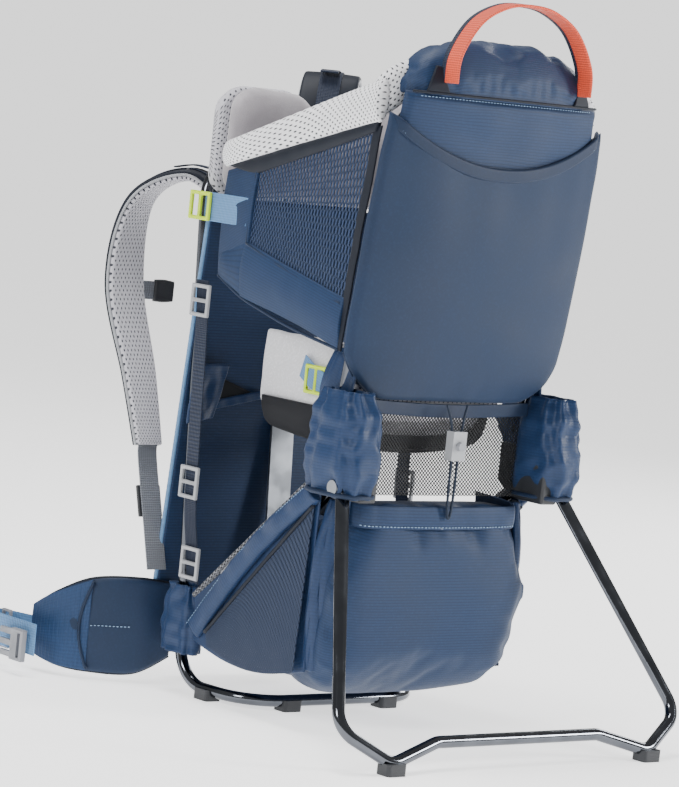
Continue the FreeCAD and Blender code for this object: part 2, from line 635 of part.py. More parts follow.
def make_shoulder_straps():
    """Padded shoulder straps, their load lifters, lower webbing and slide buckles."""
    web = size("web_width")
    thin = size("web_thick")
    lifters = []
    webs = []
    slides = []
    for name, side in (("left", -1), ("right", 1)):
        line = strap_line(side)
        stations = [(point, across, size("strap_width") * share, size("strap_thick"))
                    for point, across, share in line]
        feature("shoulder_strap_" + name, ribbon(stations))
        end = line[-1][0]
        foot = (side * 143.0, 147.0, 124.0)
        top = (end[0], end[1] - 1.0, end[2] - size("strap_thick"))
        span = [(top, (1, 0, 0), web, thin), (foot, (1, 0, 0), web, thin)]
        webs.append(feature("strap_web_" + name, ribbon(span), False))
        share = 0.4
        middle = Vector(*top) + (Vector(*foot) - Vector(*top)) * share
        plate = ladder_plate("slide_" + name)
        tilt = math.degrees(math.atan2(top[1] - foot[1], top[2] - foot[2]))
        plate.Placement = Placement(middle + Vector(0, thin / 2 + size("lock_thick") / 2 + 0.6, 0),
                                    Rotation(Vector(1, 0, 0), 90 - tilt))
        slides.append(plate)
        lifters.append(feature("lifter_" + name, load_lifter(stations, 2 if side < 0 else 5), False))
    group("load_lifters", lifters)
    group("strap_webbing", webs)
    group("strap_slides", slides)


def ladder_plate(name):
    """Flat three-bar buckle, lying in its own XY plane."""
    slot = "(lock_tall-3*lock_bar)/2"
    inner = "lock_wide/2-lock_bar"
    loops = [centred("lock_wide", "lock_tall"),
             box_corners(("-(%s)" % inner, "lock_bar/2"), (inner, "lock_bar/2+%s" % slot)),
             box_corners(("-(%s)" % inner, "-lock_bar/2-%s" % slot), (inner, "-lock_bar/2"))]
    return padded_body(name, "XY_Plane", loops, "lock_thick", None, "lock_round", listed=False)


def make_sternum():
    """Both halves of the sternum strap with their clip ends."""
    web_len = size("sternum_len")
    tall = size("sternum_tall")
    clip_len = size("sternum_clip")
    deep = size("hip_buckle_thick")
    for name, side in (("left", -1), ("right", 1)):
        anchor = strap_line(side)[3 if side < 0 else 5][0]
        web = Part.makeBox(web_len, size("web_thick"), tall)
        clip = Part.makeBox(clip_len, deep, tall + 6, Vector(web_len, (size("web_thick") - deep) / 2, -3))
        clip = clip.makeFillet(2.0, clip.Edges)
        piece = web.fuse(clip)
        if side > 0:
            piece = mirrored(piece)
        start = Vector(anchor[0] - side * size("sternum_in"), anchor[1] + size("sternum_out"),
                       anchor[2] - tall)
        obj = feature("sternum_strap_" + name, piece)
        obj.Placement = Placement(start, Rotation(Vector(0, 0, 1), -side * 14.0))


def fin_stations():
    """Hip fin from the lumbar pad to its tip."""
    thick = size("fin_thick")
    shape = ((112.0, 152.5, 68.0, 78.0, 0.9), (150.0, 162.0, 61.0, 102.0, 1.0),
             (190.0, 190.0, 58.0, 100.0, 1.0),
             (212.0, 218.0, 51.0, 80.0, 0.85), (219.0, 249.0, 45.0, 52.0, 0.6))
    return [((-x, y, z), (0, 0, 1), tall, thick * share) for x, y, z, tall, share in shape]


def make_hip_belt():
    """Hip fins, their webbing, ring adjusters and the buckle's two halves."""
    web = size("hip_web_width")
    thin = size("web_thick")
    fin = ribbon(fin_stations())
    level = size("hip_web_z")
    line = [Vector(-x, y, level) for x, y in ((220.0, 253.5), (234.0, 302.0), (251.0, 300.0),
                                              (252.0, 200.0))]
    webbing = band(line, [5.0, 5.0], web, thin)
    for name, side in (("left", -1), ("right", 1)):
        feature("hip_fin_" + name, fin if side < 0 else mirrored(fin))
        feature("hip_webbing_" + name, webbing if side < 0 else mirrored(webbing))
        ring = padded_body("hip_ring_" + name, "YZ_Plane",
                           [centred("hip_ring_len", "hip_web_width+8"),
                            centred("hip_ring_len-6", "hip_web_width+2")],
                           "lock_thick", ("%d*242.5" % side, "270", "hip_web_z"), "lock_round")
        ring.Placement.Rotation = Rotation()
    length = size("hip_buckle_len")
    deep = size("hip_buckle_thick")
    for label, side, tall, prongs in (("hip_buckle_male", -1, 34.0, True),
                                      ("hip_buckle_female", 1, 38.0, False)):
        body = Part.makeBox(deep, length * 0.5, tall, Vector(-deep / 2, 0, -tall / 2))
        slot = Part.makeBox(deep, 5.0, tall - 8, Vector(-deep / 2, 4.0, -tall / 2 + 4))
        body = body.makeFillet(1.5, body.Edges).cut(slot)
        if prongs:
            for low in (-tall / 2 + 2, -3.0, tall / 2 - 8):
                body = body.fuse(Part.makeBox(deep * 0.6, length * 0.5, 6.0,
                                              Vector(-deep * 0.3, length * 0.48, low)))
        else:
            shell = Part.makeBox(deep * 1.6, length * 0.6, tall,
                                 Vector(-deep * 0.8, length * 0.45, -tall / 2))
            mouth = Part.makeBox(deep, length * 0.5, tall - 5,
                                 Vector(-deep / 2, length * 0.6, -tall / 2 + 2.5))
            body = body.fuse(shell.makeFillet(1.5, shell.Edges).cut(mouth))
        obj = feature(label, body)
        obj.Placement = Placement(Vector(side * (254.6 + deep * 0.9), 208.0, size("hip_web_z") - 8.0),
                                  Rotation())


def make_storage():
    """Storage bag, side gussets with mesh pockets, rear mesh, fabric covers of the hinges and corners."""
    outline = [("98", "50"), ("98", "92"), ("8", "163"), ("-100", "243"), ("-130", "243"), ("-134", "138"),
               ("-122", "62"), ("-98", "40"), ("-58", "38"), ("-3", "46")]
    padded_body("storage_bag", "YZ_Plane", [outline], "2*bag_half", None, "bag_round")
    inner = "corner_x+gusset_gap"
    side_outline = [("84", "58"), ("84", "108"), ("8", "172"), ("-104", "270"), ("-106", "236"),
                    ("-104", "60"),
                    ("-92", "48"), ("-58", "42"), ("-3", "48")]
    pocket = [("52", "60"), ("20", "132"), ("-64", "190"), ("-96", "170"), ("-96", "62"), ("-58", "48"),
              ("-3", "54")]
    centre = inner + "+gusset_thick/2"
    outer = inner + "+gusset_thick+pocket_gap+mesh_thick/2"
    pockets = []
    for name, sign in (("left", "-"), ("right", "")):
        padded_body("side_gusset_" + name, "YZ_Plane", [side_outline], "gusset_thick",
                    (sign + "(%s)" % centre, "0", "0"), "gusset_thick*0.3")
        pockets.append(padded_body("mesh_pocket_" + name, "YZ_Plane", [pocket], "mesh_thick",
                                   (sign + "(%s)" % outer, "0", "0"), None, listed=False))
        cover = [("bracket_x+bracket_thick/2+sleeve_gap", "bracket_front_y"),
                 ("corner_x+cover_thick", "bracket_front_y"),
                 ("corner_x+cover_thick", "hinge_y-26"), ("bracket_x-bracket_thick/2", "hinge_y-26"),
                 ("bracket_x-bracket_thick/2", "hinge_y-15.3"), ("bracket_x+bracket_thick/2+sleeve_gap",
                                                                 "hinge_y-15.3")]
        flip = "-1*" if name == "left" else ""
        cover = [("%s(%s)" % (flip, x), y) for x, y in cover]
        padded_body("hinge_sleeve_" + name, "XY_Plane", [cover], "panel_bottom_z-hem_gap-cover_low_z",
                    ("0", "0", "cover_low_z"), "sleeve_thick*0.6", symmetric=False)
    group("mesh_pockets", pockets)
    covers = []
    for name, sign in (("a", "-"), ("b", "")):
        corner = padded_body("corner_sleeve_" + name, "YZ_Plane",
                             [box_corners(("87", "48"), ("127", "110"))],
                             "corner_thick", (sign + "(corner_x+corner_thick/2)", "0", "0"),
                             "corner_thick*0.3",
                             listed=False)
        covers.append(corner)
    group("corner_sleeves", covers)
    loop = box_corners(("-rear_mesh_half", "rear_mesh_low_z"), ("rear_mesh_half", "panel_bottom_z-hem_gap"))
    padded_body("rear_mesh_panel", "XZ_Plane", [loop], "mesh_thick", ("0", "rear_mesh_y", "0"), None)


def make_drawcord():
    """Two strands from the panel's hem through the cord lock to the eyelet in the bag's hem."""
    x = size("cord_half")
    y = size("cord_y")
    low = size("eyelet_z")
    hem = size("panel_bottom_z") - 1.5
    points = [Vector(-14, y + 4, hem), Vector(-x, y, hem - 18), Vector(-x, y, low), Vector(x, y, low),
              Vector(x, y, hem - 18), Vector(14, y + 4, hem)]
    bend = size("cord_half") * 0.97
    radii = [12.0, bend, bend, 12.0]
    cord = rod(points, radii, size("cord_dia"))
    feature("drawcord", cord)
    length = route(points, radii).Length
    print("drawcord length %.1f, radii %s, volume %.1f against %.1f" % (
        length, radii, cord.Volume, math.pi * size("cord_dia") ** 2 / 4 * length))
    holes = [(("-cord_half", "0"), "cord_hole/2"), (("cord_half", "0"), "cord_hole/2")]
    shell = padded_body("cord_lock_shell", "XY_Plane", [centred("cord_lock_wide", "cord_lock_deep")],
                        "cord_lock_tall", ("0", "cord_y", "cord_lock_z"), None, holes, symmetric=False,
                        listed=False)
    bore = doc.addObject("Part::Cylinder", "cord_lock_bore")
    bore.setExpression("Radius", bind("button_dia/2+button_clearance"))
    bore.setExpression("Height", bind("button_travel+0.6"))
    bore.Placement = Placement(Vector(), Rotation(Vector(1, 0, 0), -90))
    bore.setExpression("Placement.Base.y", bind("cord_y-cord_lock_deep/2"))
    bore.setExpression("Placement.Base.z", bind("cord_lock_z+cord_lock_tall*0.5"))
    lock = doc.addObject("Part::Cut", "cord_lock")
    lock.Base = shell
    lock.Tool = bore
    finish_node(lock, "cord_lock")
    padded_body("cord_lock_button", "XZ_Plane", [], "button_out",
                ("0", "cord_y-cord_lock_deep/2+0.3", "cord_lock_z+cord_lock_tall*0.5"), None,
                [(("0", "0"), "button_dia/2")], symmetric=False)
    padded_body("eyelet", "XZ_Plane", [], "eyelet_thick", ("0", "-137.6", "eyelet_z-4"), None,
                [(("0", "0"), "eyelet_outer/2"), (("0", "0"), "eyelet_inner/2")], symmetric=False)


def make_fittings():
    """Side webbing with its ladder locks, entry straps with their bright buckles, zip slider."""
    thin = size("web_thick")
    webs = []
    locks = []
    x = size("side_x") + size("side_thick") + 2.5
    line = ((114.0, 436.0), (108.0, 380.0), (98.0, 215.0), (88.0, 160.0), (80.0, 122.0))
    for name, side in (("a", -1), ("b", 1)):
        stations = [((side * x, y, z), (0, 1, 0), 20.0, thin) for y, z in line]
        webs.append(feature("frame_web_" + name, ribbon(stations), False))
        for index, (y, z) in enumerate(((111.0, 415.0), (99.0, 225.0), (84.0, 142.0))):
            plate = ladder_plate("frame_lock_%d%s" % (index, name))
            plate.Placement = Placement(Vector(side * (x + thin / 2 + size("lock_thick") / 2 + 0.4), y, z),
                                        Rotation(Vector(1, 1, 1), 120))
            locks.append(plate)
    group("frame_webbing", webs)
    group("ladder_locks", locks)
    outer = size("side_x") + size("side_thick") + 1.2
    stations = [((-outer, 58.0, 513.0), (0, 0, 1), 30.0, thin), ((-outer - 1.0, 122.0, 513.0), (0, 0, 1),
                                                                 30.0, thin)]
    feature("entry_strap_left", ribbon(stations))
    buckle = ladder_plate("entry_buckle_left")
    finish_node(buckle, "entry_buckle_left")
    buckle.Placement = Placement(Vector(-outer - 4.4, 128.0, 513.0), Rotation(Vector(0, 1, 0), 90))
    lower = ladder_plate("seat_buckle_left")
    finish_node(lower, "seat_buckle_left")
    lower.Placement = Placement(Vector(-size("seat_half") - 7.0, -40.0, 352.0),
                                Rotation(Vector(0, 1, 0), 90))
    padded_body("bag_zip_slider", "YZ_Plane", [[("-8", "-3"), ("6", "-4"), ("6", "4"), ("-8", "3"),
                                                ("-30", "2"),
                                               ("-30", "-2")]], "3",
                ("-(corner_x+gusset_gap+gusset_thick+2.2)", "14", "158"), None, axis=(1, 0, 0),
                angle="138.8")


def write_parts():
    """Check every object and write each sub-part to its own file."""
    doc.recompute()
    for obj in doc.Objects:
        if any(word in ("Invalid", "Error") for word in obj.State):
            raise RuntimeError("%s failed: %s" % (obj.Label, obj.State))
    for obj in NODES:
        if obj.Shape.isNull() or not obj.Shape.isValid():
            raise RuntimeError("%s has no valid shape" % obj.Label)
    os.makedirs("parts", exist_ok=True)
    for obj in NODES:
        obj.Shape.exportStep("parts/%s.step" % obj.Label)
    print("%d sub-parts written" % len(NODES))


make_brackets()
doc.recompute()
make_main_frame()
make_seat_frame()
make_struts()
make_hinge_pins()
make_base_feet()
make_stand()
make_back()
make_rear_panel()
make_handle()
make_cockpit_sides()
make_cockpit_pads()
make_shoulder_straps()
make_sternum()
make_hip_belt()
make_storage()
make_drawcord()
make_fittings()
write_parts()
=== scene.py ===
import math

import bpy
from mathutils import Matrix, Vector, noise


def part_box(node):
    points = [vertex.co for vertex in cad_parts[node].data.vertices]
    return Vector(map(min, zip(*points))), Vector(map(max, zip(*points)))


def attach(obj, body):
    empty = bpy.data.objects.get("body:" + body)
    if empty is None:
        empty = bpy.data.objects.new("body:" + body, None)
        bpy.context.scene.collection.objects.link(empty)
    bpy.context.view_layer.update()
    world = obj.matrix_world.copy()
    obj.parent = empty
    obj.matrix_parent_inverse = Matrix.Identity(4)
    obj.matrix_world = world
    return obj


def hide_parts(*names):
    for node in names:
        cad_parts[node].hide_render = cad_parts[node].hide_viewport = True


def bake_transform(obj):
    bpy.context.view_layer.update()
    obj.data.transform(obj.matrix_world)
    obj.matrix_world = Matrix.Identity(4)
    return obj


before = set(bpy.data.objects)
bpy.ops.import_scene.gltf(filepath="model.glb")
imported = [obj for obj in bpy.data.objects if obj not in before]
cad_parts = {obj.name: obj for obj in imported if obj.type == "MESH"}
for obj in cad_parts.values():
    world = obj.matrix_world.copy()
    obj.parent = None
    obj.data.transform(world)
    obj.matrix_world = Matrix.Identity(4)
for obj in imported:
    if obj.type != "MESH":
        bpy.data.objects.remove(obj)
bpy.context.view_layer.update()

# Shapes are written in millimetres and scaled by this; materials, lights and the camera are in metres.
MM = 0.001
SCENE = bpy.context.scene
# Names and X signs of the object's two sides.
SIDES = (("left", -1), ("right", 1))


def clamp(value, low=0.0, high=1.0):
    """Nearest value within the limits."""
    return max(low, min(high, value))


def ease(value):
    """Smooth step from 0 to 1."""
    value = clamp(value)
    return value * value * (3 - 2 * value)


def through(pairs, x):
    """Smooth curve through (position, value) pairs."""
    if x <= pairs[0][0]:
        return pairs[0][1]
    for (a, low), (b, high) in zip(pairs, pairs[1:]):
        if x <= b:
            return low + (high - low) * ease((x - a) / (b - a))
    return pairs[-1][1]


def linear(pairs, x):
    """Straight runs through (position, value) pairs."""
    if x <= pairs[0][0]:
        return pairs[0][1]
    for (a, low), (b, high) in zip(pairs, pairs[1:]):
        if x <= b:
            return low + (high - low) * (x - a) / (b - a)
    return pairs[-1][1]


def wrinkle(point, scale, seed):
    """Signed noise at a place in millimetres; seed shifts it."""
    return noise.noise(Vector(point) / scale + Vector((seed * 7.3, seed * 3.1, seed * 5.7)))


# ---------------------------------------------------------------- materials

class Graph:
    """Shorthand for the nodes of one material."""

    def __init__(self, name, rough=0.6, metal=0.0, sheen=0.0, specular=0.5):
        self.material = bpy.data.materials.new(name)
        self.material.use_nodes = True
        tree = self.material.node_tree
        self.nodes = tree.nodes
        self.links = tree.links
        self.bsdf = self.nodes["Principled BSDF"]
        self.bsdf.inputs["Roughness"].default_value = rough
        self.bsdf.inputs["Metallic"].default_value = metal
        self.bsdf.inputs["Sheen Weight"].default_value = sheen
        self.bsdf.inputs["Sheen Roughness"].default_value = 0.45
        self.bsdf.inputs["Specular IOR Level"].default_value = specular

    def put(self, socket, value):
        if isinstance(value, bpy.types.NodeSocket):
            self.links.new(value, socket)
        else:
            socket.default_value = value

    def math(self, operation, a, b=0.0, c=0.0):
        node = self.nodes.new("ShaderNodeMath")
        node.operation = operation
        for socket, value in zip(node.inputs, (a, b, c)):
            self.put(socket, value)
        return node.outputs[0]

    def space(self):
        """Cloth coordinates in metres: across, along."""
        node = self.nodes.new("ShaderNodeAttribute")
        node.attribute_name = "weave"
        split = self.nodes.new("ShaderNodeSeparateXYZ")
        self.links.new(node.outputs["Vector"], split.inputs[0])
        return split.outputs[0], split.outputs[1]

    def place(self):
        return self.nodes.new("ShaderNodeTexCoord").outputs["Object"]

    def noise(self, scale, detail=3.0, where=None):
        node = self.nodes.new("ShaderNodeTexNoise")
        node.inputs["Scale"].default_value = scale
        node.inputs["Detail"].default_value = detail
        self.links.new(where or self.place(), node.inputs["Vector"])
        return node.outputs["Fac"]

    def remap(self, value, a, b, low, high):
        node = self.nodes.new("ShaderNodeMapRange")
        node.interpolation_type = "SMOOTHSTEP"
        for socket, number in zip(node.inputs, (value, a, b, low, high)):
            self.put(socket, number)
        return node.outputs[0]

    def mix(self, factor, a, b):
        node = self.nodes.new("ShaderNodeMix")
        node.data_type = "RGBA"
        for socket, value in zip((node.inputs[0], node.inputs[6], node.inputs[7]), (factor, a, b)):
            self.put(socket, value)
        return node.outputs[2]

    def colour(self, value):
        self.put(self.bsdf.inputs["Base Color"], value)

    def bump(self, height, distance, strength=0.6):
        node = self.nodes.new("ShaderNodeBump")
        node.inputs["Strength"].default_value = strength
        node.inputs["Distance"].default_value = distance
        self.links.new(height, node.inputs["Height"])
        self.links.new(node.outputs[0], self.bsdf.inputs["Normal"])

    def wave(self, value, pitch):
        """0 to 1 along value, once each pitch."""
        turned = self.math("MULTIPLY", value, 2 * math.pi / pitch)
        return self.math("MULTIPLY_ADD", self.math("SINE", turned), 0.5, 0.5)


def rgb(r, g, b):
    """Linear colour from 0 to 255 display values."""
    return tuple(((c / 255 + 0.055) / 1.055) ** 2.4 if c > 10 else c / 3295 for c in (r, g, b)) + (1.0,)


def shade(colour, share):
    """Darker or paler tone of a colour."""
    return tuple(c * share for c in colour[:3]) + (1.0,)


def cloth(name, colour, pitch, lines=0.0, line_pitch=0.0031, rough=0.55, sheen=0.05, weave_depth=0.00012):
    """Woven fabric: two crossing threads, optional lines across, uneven dye and rubbed high spots; the
    hollows between threads and the lines are sunk by the bump and painted darker as painted shade.
    """
    g = Graph(name, rough, sheen=sheen, specular=0.3)
    u, v = g.space()
    warp = g.wave(u, pitch)
    weft = g.wave(v, pitch)
    thread = g.math("ADD", g.math("MULTIPLY", warp, 0.5), g.math("MULTIPLY", weft, 0.5))
    broad = g.noise(9.0, 4.0)
    fine = g.noise(420.0, 2.0)
    dye = g.mix(g.remap(broad, 0.3, 0.7, 0.0, 1.0), shade(colour, 0.86), shade(colour, 1.14))
    # Painted shade: the hollows between the threads are darkened where the bump sinks them.
    tone = g.mix(g.remap(thread, 0.1, 0.9, 0.0, 1.0), shade(colour, 0.72), dye)
    tone = g.mix(g.remap(fine, 0.45, 0.75, 0.0, 0.35), tone, shade(colour, 1.35))
    height = g.math("MULTIPLY", thread, 0.45)
    if lines:
        ridge = g.remap(g.wave(v, line_pitch), 0.55, 0.95, 0.0, 1.0)
        # Painted shade: the lines across are a real woven grid, but their darkening is painted shade in the
        # grooves the bump sinks.
        tone = g.mix(g.math("MULTIPLY", ridge, lines), tone, shade(colour, 0.5))
        height = g.math("ADD", height, g.math("MULTIPLY", ridge, -0.9))
    g.colour(tone)
    g.put(g.bsdf.inputs["Roughness"], g.remap(broad, 0.2, 0.8, rough - 0.07, rough + 0.08))
    g.bump(height, weave_depth)
    return g.material


def webbing(name, colour, rough=0.6, pitch=0.0017, sheen=0.1):
    """Flat woven tape with ribs across it."""
    g = Graph(name, rough, sheen=sheen, specular=0.35)
    u, v = g.space()
    rib = g.wave(v, pitch)
    grain = g.wave(u, 0.0026)
    height = g.math("ADD", rib, g.math("MULTIPLY", grain, 0.5))
    # Painted highlight and shade: rib tops are painted paler and the hollows between ribs darker, following
    # the bump height.
    tone = g.mix(g.remap(height, 0.1, 1.3, 0.0, 1.0), shade(colour, 0.62), shade(colour, 1.12))
    tone = g.mix(g.remap(g.noise(24.0), 0.35, 0.7, 0.0, 0.35), tone, shade(colour, 0.8))
    g.colour(tone)
    g.bump(height, 0.0004, 0.8)
    return g.material


def dots(g, u, v, pitch, squash=1.0):
    """Distance from the nearest centre of a staggered grid, in shares of the pitch."""
    def grid(shift):
        a = g.math("SUBTRACT", g.math("FRACT", g.math("MULTIPLY_ADD", u, 1 / pitch, 40 + shift)), 0.5)
        b = g.math("SUBTRACT", g.math("FRACT", g.math("MULTIPLY_ADD", v, squash / pitch, 40 + shift)), 0.5)
        return g.math("SQRT", g.math("ADD", g.math("MULTIPLY", a, a), g.math("MULTIPLY", b, b)))
    return g.math("MINIMUM", grid(0.0), grid(0.5))


def spacer(name, colour, hole_shade, pitch=0.0066, squash=0.8, size=0.15):
    """Thick spacer knit with staggered eyelets, filled with a dark colour as painted shade inside the holes.
    """
    g = Graph(name, 0.85, sheen=0.25, specular=0.25)
    u, v = g.space()
    near = dots(g, u, v, pitch, squash)
    open_ = g.remap(near, size * 0.75, size * 1.25, 1.0, 0.0)
    knit = g.noise(900.0, 2.0)
    tone = g.mix(g.remap(knit, 0.35, 0.7, 0.0, 1.0), shade(colour, 0.86), colour)
    # Painted shade: the eyelets are coloured dark rather than cut open.
    g.colour(g.mix(open_, tone, hole_shade))
    height = g.math("SUBTRACT", g.math("MULTIPLY", knit, 0.25), open_)
    g.bump(height, 0.0009, 0.8)
    return g.material


def netting(name, colour, pitch, size, squash=0.6):
    """See-through net: staggered holes cut by transparency."""
    g = Graph(name, 0.6, sheen=0.1, specular=0.35)
    u, v = g.space()
    near = dots(g, u, v, pitch, squash)
    solid = g.remap(near, size * 0.92, size * 1.08, 0.0, 1.0)
    g.put(g.bsdf.inputs["Alpha"], solid)
    # Painted highlight and shade: the strands are paler in their middle and darker toward the hole edges,
    # following the bump height.
    g.colour(g.mix(g.remap(near, size, size * 1.6, 0.0, 1.0), shade(colour, 0.7), shade(colour, 1.25)))
    g.bump(near, 0.0005)
    return g.material


def velour(name, colour):
    """Short brushed pile."""
    g = Graph(name, 0.95, sheen=0.7, specular=0.15)
    pile = g.noise(1300.0, 2.0)
    brushed = g.noise(26.0, 5.0)
    tone = g.mix(g.remap(brushed, 0.3, 0.7, 0.0, 1.0), shade(colour, 0.82), shade(colour, 1.1))
    g.colour(g.mix(g.remap(pile, 0.3, 0.7, 0.0, 0.4), tone, shade(colour, 0.7)))
    g.bump(g.math("ADD", pile, g.math("MULTIPLY", brushed, 0.6)), 0.0006, 0.7)
    return g.material


def moulded(name, colour, rough=0.42, grain=0.00006):
    """Injection-moulded plastic with a fine spark-eroded grain and paler rubbed edges."""
    g = Graph(name, rough, specular=0.5)
    skin = g.noise(1500.0, 2.0)
    cloudy = g.noise(60.0, 3.0)
    tone = g.mix(g.remap(cloudy, 0.3, 0.75, 0.0, 1.0), shade(colour, 0.9), shade(colour, 1.12))
    node = g.nodes.new("ShaderNodeNewGeometry")
    worn = g.remap(node.outputs["Pointiness"], 0.52, 0.6, 0.0, 0.35)
    g.colour(g.mix(worn, tone, shade(colour, 1.7)))
    g.bump(skin, grain * 8, 0.5)
    return g.material


def metal(name, colour, rough=0.22):
    """Anodised tube: faint draw lines, small smudges in the polish."""
    g = Graph(name, rough, metal=1.0)
    stretched = g.nodes.new("ShaderNodeMapping")
    stretched.inputs["Scale"].default_value = (160.0, 160.0, 5.0)
    g.links.new(g.place(), stretched.inputs[0])
    drawn = g.noise(4.0, 3.0, stretched.outputs[0])
    smudge = g.noise(38.0, 5.0)
    g.colour(g.mix(g.remap(smudge, 0.3, 0.75, 0.0, 1.0), shade(colour, 0.85), shade(colour, 1.1)))
    g.put(g.bsdf.inputs["Roughness"], g.remap(smudge, 0.35, 0.8, rough * 0.8, rough * 1.5))
    g.bump(drawn, 0.00003, 0.3)
    return g.material


BLUE = rgb(26, 50, 84)
NAVY = rgb(12, 20, 34)
SKY = rgb(96, 140, 186)
LIME = rgb(186, 214, 20)
CORAL = rgb(226, 84, 54)
WHITE = rgb(246, 246, 249)

RIPSTOP = cloth("blue_ripstop", BLUE, 0.0007, lines=0.55)
WAFFLE = cloth("blue_waffle_cloth", rgb(34, 62, 100), 0.0042, lines=0.25, line_pitch=0.0042,
               weave_depth=0.0006)
PANEL = cloth("blue_panel_cloth", rgb(22, 42, 70), 0.0011, rough=0.58)
SLEEVE = cloth("blue_sleeve_cloth", rgb(28, 52, 88), 0.0007, lines=0.3, rough=0.42)
DARK = cloth("navy_cloth", NAVY, 0.0011, rough=0.6)
BINDING = cloth("binding_tape", rgb(20, 38, 64), 0.0009, rough=0.55)
STITCH = cloth("stitch_thread", rgb(150, 180, 212), 0.0006, rough=0.5)
LINING = cloth("black_lining", rgb(16, 18, 24), 0.0011, rough=0.7)
WEB_NAVY = webbing("navy_webbing", rgb(22, 34, 56))
WEB_SKY = webbing("sky_webbing", SKY)
WEB_CORAL = webbing("coral_webbing", CORAL, pitch=0.0024)
WEB_GREY = webbing("grey_webbing", rgb(120, 124, 132))
SPACER = spacer("white_spacer_mesh", WHITE, rgb(60, 60, 66))
SPACER_DARK = spacer("dark_spacer_roll", rgb(150, 152, 160), rgb(20, 22, 28), pitch=0.0052, size=0.3)
SPACER_GREY = spacer("grey_spacer_mesh", rgb(196, 195, 202), rgb(56, 58, 66), pitch=0.0062)
NET = netting("navy_window_net", rgb(30, 50, 82), 0.0046, 0.27)
NET_REAR = netting("black_rear_net", rgb(14, 16, 20), 0.0042, 0.29, squash=1.0)
NET_POCKET = netting("pocket_net", rgb(26, 40, 64), 0.0036, 0.17)
VELOUR = velour("grey_velour", rgb(168, 163, 168))
SEAT_CLOTH = cloth("pale_seat_cloth", rgb(214, 214, 218), 0.0012, rough=0.8)
PLASTIC = moulded("black_plastic", rgb(34, 36, 40))
PLASTIC_GREY = moulded("grey_plastic", rgb(132, 134, 140))
PLASTIC_PALE = moulded("pale_plastic", rgb(150, 152, 156))
PLASTIC_LIME = moulded("lime_plastic", LIME, rough=0.35)
TUBE = metal("polished_tube", rgb(96, 99, 105), 0.13)
RAIL = metal("brushed_rail", rgb(150, 154, 160), 0.35)
PIPING = cloth("pale_blue_piping", rgb(104, 144, 186), 0.0009, rough=0.5)
CORD = cloth("braided_cord", rgb(28, 40, 58), 0.0012, rough=0.6)


# ---------------------------------------------------------------- mesh helpers

def link(name, points, faces, material, weave=None):
    """Smooth mesh object; weave gives each point its cloth coordinates in metres."""
    mesh = bpy.data.meshes.new(name)
    mesh.from_pydata([tuple(p) for p in points], [], faces)
    mesh.materials.append(material)
    if weave is not None:
        spread = mesh.attributes.new("weave", "FLOAT_VECTOR", "POINT")
        spread.data.foreach_set("vector", [n for u, v in weave for n in (u, v, 0.0)])
    for face in mesh.polygons:
        face.use_smooth = True
    mesh.update()
    obj = bpy.data.objects.new(name, mesh)
    bpy.context.collection.objects.link(obj)
    return obj


def clustered(count, rim):
    """Shares from 0 to 1, closer together near both ends, where a pad rolls over its rim."""
    steps = [rim * s for s in (0.0, 0.06, 0.2, 0.45, 0.75)]
    inner = [rim + (1 - 2 * rim) * i / count for i in range(count + 1)]
    return steps + inner + [1 - s for s in reversed(steps)]


def pad(name, centre, half, size, count, material, rim=None):
    """Closed cloth body on a centre surface.

    centre(u, v) is a place in mm and half(u, v) half the thickness there; size is (width, length) in mm;
    the border rolls over a rim radius and closes.
    """
    width, length = size
    rim = rim or half(0.5, 0.5)
    us = clustered(count[0], min(0.45, rim / width))
    vs = clustered(count[1], min(0.45, rim / length))
    cols, rows = len(us), len(vs)
    mid = [[Vector(centre(u, v)) for u in us] for v in vs]

    def roll(share, total):
        reach = clamp(min(share, 1 - share) * total / rim)
        return math.sqrt(max(0.0, 1 - (1 - reach) ** 2))

    points, weave, index = [], [], {}
    for side in (1, -1):
        for j in range(rows):
            for i in range(cols):
                border = i in (0, cols - 1) or j in (0, rows - 1)
                if border and side < 0:
                    index[side, i, j] = index[1, i, j]
                    continue
                du = mid[j][min(i + 1, cols - 1)] - mid[j][max(i - 1, 0)]
                dv = mid[min(j + 1, rows - 1)][i] - mid[max(j - 1, 0)][i]
                normal = du.cross(dv).normalized()
                thick = half(us[i], vs[j]) * roll(us[i], width) * roll(vs[j], length)
                index[side, i, j] = len(points)
                points.append((mid[j][i] + normal * thick * side) * MM)
                weave.append((us[i] * width * MM, vs[j] * length * MM))
    faces = []
    for side in (1, -1):
        for j in range(rows - 1):
            for i in range(cols - 1):
                ring = [index[side, p, q] for p, q in ((i, j), (i + 1, j), (i + 1, j + 1), (i, j + 1))]
                faces.append(ring if side > 0 else ring[::-1])
    return link(name, points, faces, material, weave)


def catmull(line, t):
    """Smooth line through rows of numbers; t counts from 0 to 1 over the whole line."""
    spans = len(line) - 1
    k = min(int(t * spans), spans - 1)
    f = t * spans - k
    a, b, c, d = (Vector(line[min(max(k + s, 0), spans)]) for s in (-1, 0, 1, 2))
    return 0.5 * (2 * b + (c - a) * f + (2 * a - 5 * b + 4 * c - d) * f * f
                  + (3 * b - a - 3 * c + d) * f ** 3)


def line_length(line, steps=40):
    """Length of the smooth line in its own units."""
    spots = [catmull(line, i / steps) for i in range(steps + 1)]
    return sum((b - a).length for a, b in zip(spots, spots[1:]))


